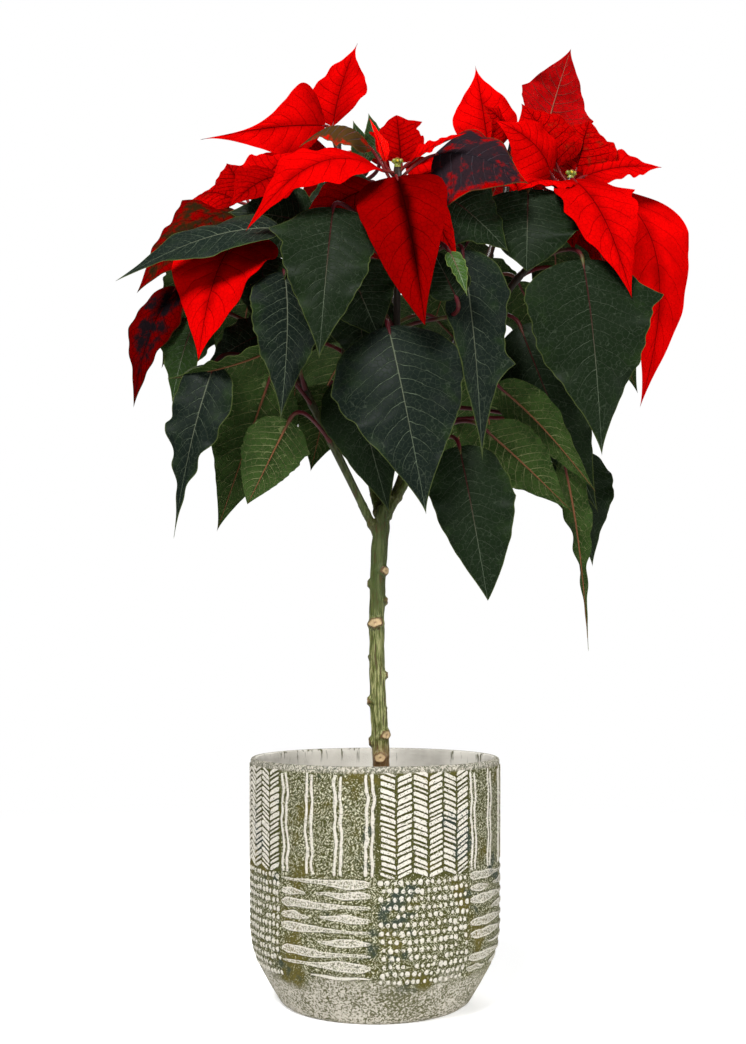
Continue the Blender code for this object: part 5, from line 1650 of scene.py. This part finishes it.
stageLook = {
    "floor": (0.9, 0.9, 0.9, 1), "away": (0, 0, 0, 1), "sky": 0.12, "seen": 1.0,
    "glowNear": (0.50, 0.50, 0.50, 1), "glowFar": (1, 1, 1, 1), "glowCast": 0.35,
    "lights": (
        ("key", "AREA", (-0.7, -1.5, 2.05), (0, 0, 0.5), 0.8, 64.0),
        ("fill", "AREA", (1.7, -1.3, 0.7), (0, 0, 0.2), 1.2, 20.0),
        ("back", "AREA", (0.4, 1.6, 1.9), (0, 0, 0.5), 1.2, 22.0),
        ("low", "SPOT", (0.35, -1.6, 0.5), (0, 0, 0.06), 15.0, 52.0),
    ),
}
cameraLook = {"place": (-1.5, -1000.0, 262.6), "focal": 1315.8, "tall": 1044, "horizonRow": 653.6,
              "sensor": 36.0}


def seenByCamera(tree):
    return addNode(tree, "LightPath", output="Is Camera Ray")


def makeFloor():
    # Near the pot it takes shadows, and far away it is the plain white of the background.
    look = stageLook
    bpy.ops.mesh.primitive_circle_add(vertices=96, radius=30, fill_type="NGON", location=(0, 0, 0))
    floor = bpy.context.object
    floor.name = "floor"
    finish, shader = newFinish("floorPaint", 0.9, 0.0)
    far = ramp(lengthOf(placeOn(shader)), 0.35, 1.3)
    paint(shader, blend(far, look["floor"], look["away"]))
    feed(blend(far, look["glowNear"], look["glowFar"]), shader.inputs["Emission Color"])
    glow = ramp(seenByCamera(shader.id_data), 0.0, 1.0, look["glowCast"], 1.0)
    feed(glow, shader.inputs["Emission Strength"])
    floor.data.materials.append(finish)


def makeStage():
    scene = bpy.context.scene
    scene.view_settings.view_transform = "Standard"
    world = bpy.data.worlds.new("studio")
    world.use_nodes = True
    sky = world.node_tree.nodes["Background"]
    sky.inputs["Color"].default_value = (1, 1, 1, 1)
    strength = ramp(seenByCamera(world.node_tree), 0.0, 1.0, stageLook["sky"], stageLook["seen"])
    feed(strength, sky.inputs["Strength"])
    scene.world = world
    makeFloor()
    for name, kind, place, aim, size, power in stageLook["lights"]:
        data = bpy.data.lights.new(name, kind)
        data.energy = power
        if kind == "SPOT":
            data.spot_size = math.radians(size)
            data.spot_blend = 0.8
            data.shadow_soft_size = 0.25
        else:
            data.size = size
        light = addObject(name, data)
        light.location = place
        light.rotation_euler = (Vector(aim) - Vector(place)).to_track_quat("-Z", "Y").to_euler()


def makeCamera():
    data = bpy.data.cameras.new("photoCamera")
    data.sensor_width = cameraLook["sensor"]
    data.lens = cameraLook["focal"] * cameraLook["sensor"] / cameraLook["tall"]
    data.shift_y = (cameraLook["horizonRow"] - cameraLook["tall"] / 2) / cameraLook["tall"]
    camera = addObject("photoCamera", data)
    camera.location = Vector(cameraLook["place"]) * mm
    camera.rotation_euler = (math.radians(90), 0, 0)
    bpy.context.scene.camera = camera


makeCamera()
makeStage()
blades = settle(seenBlades() + backBlades())
makeFoliage(blades)
makeStems(blades)
makeTrunk()
makeFlowers()
makeSoil()
makePot()
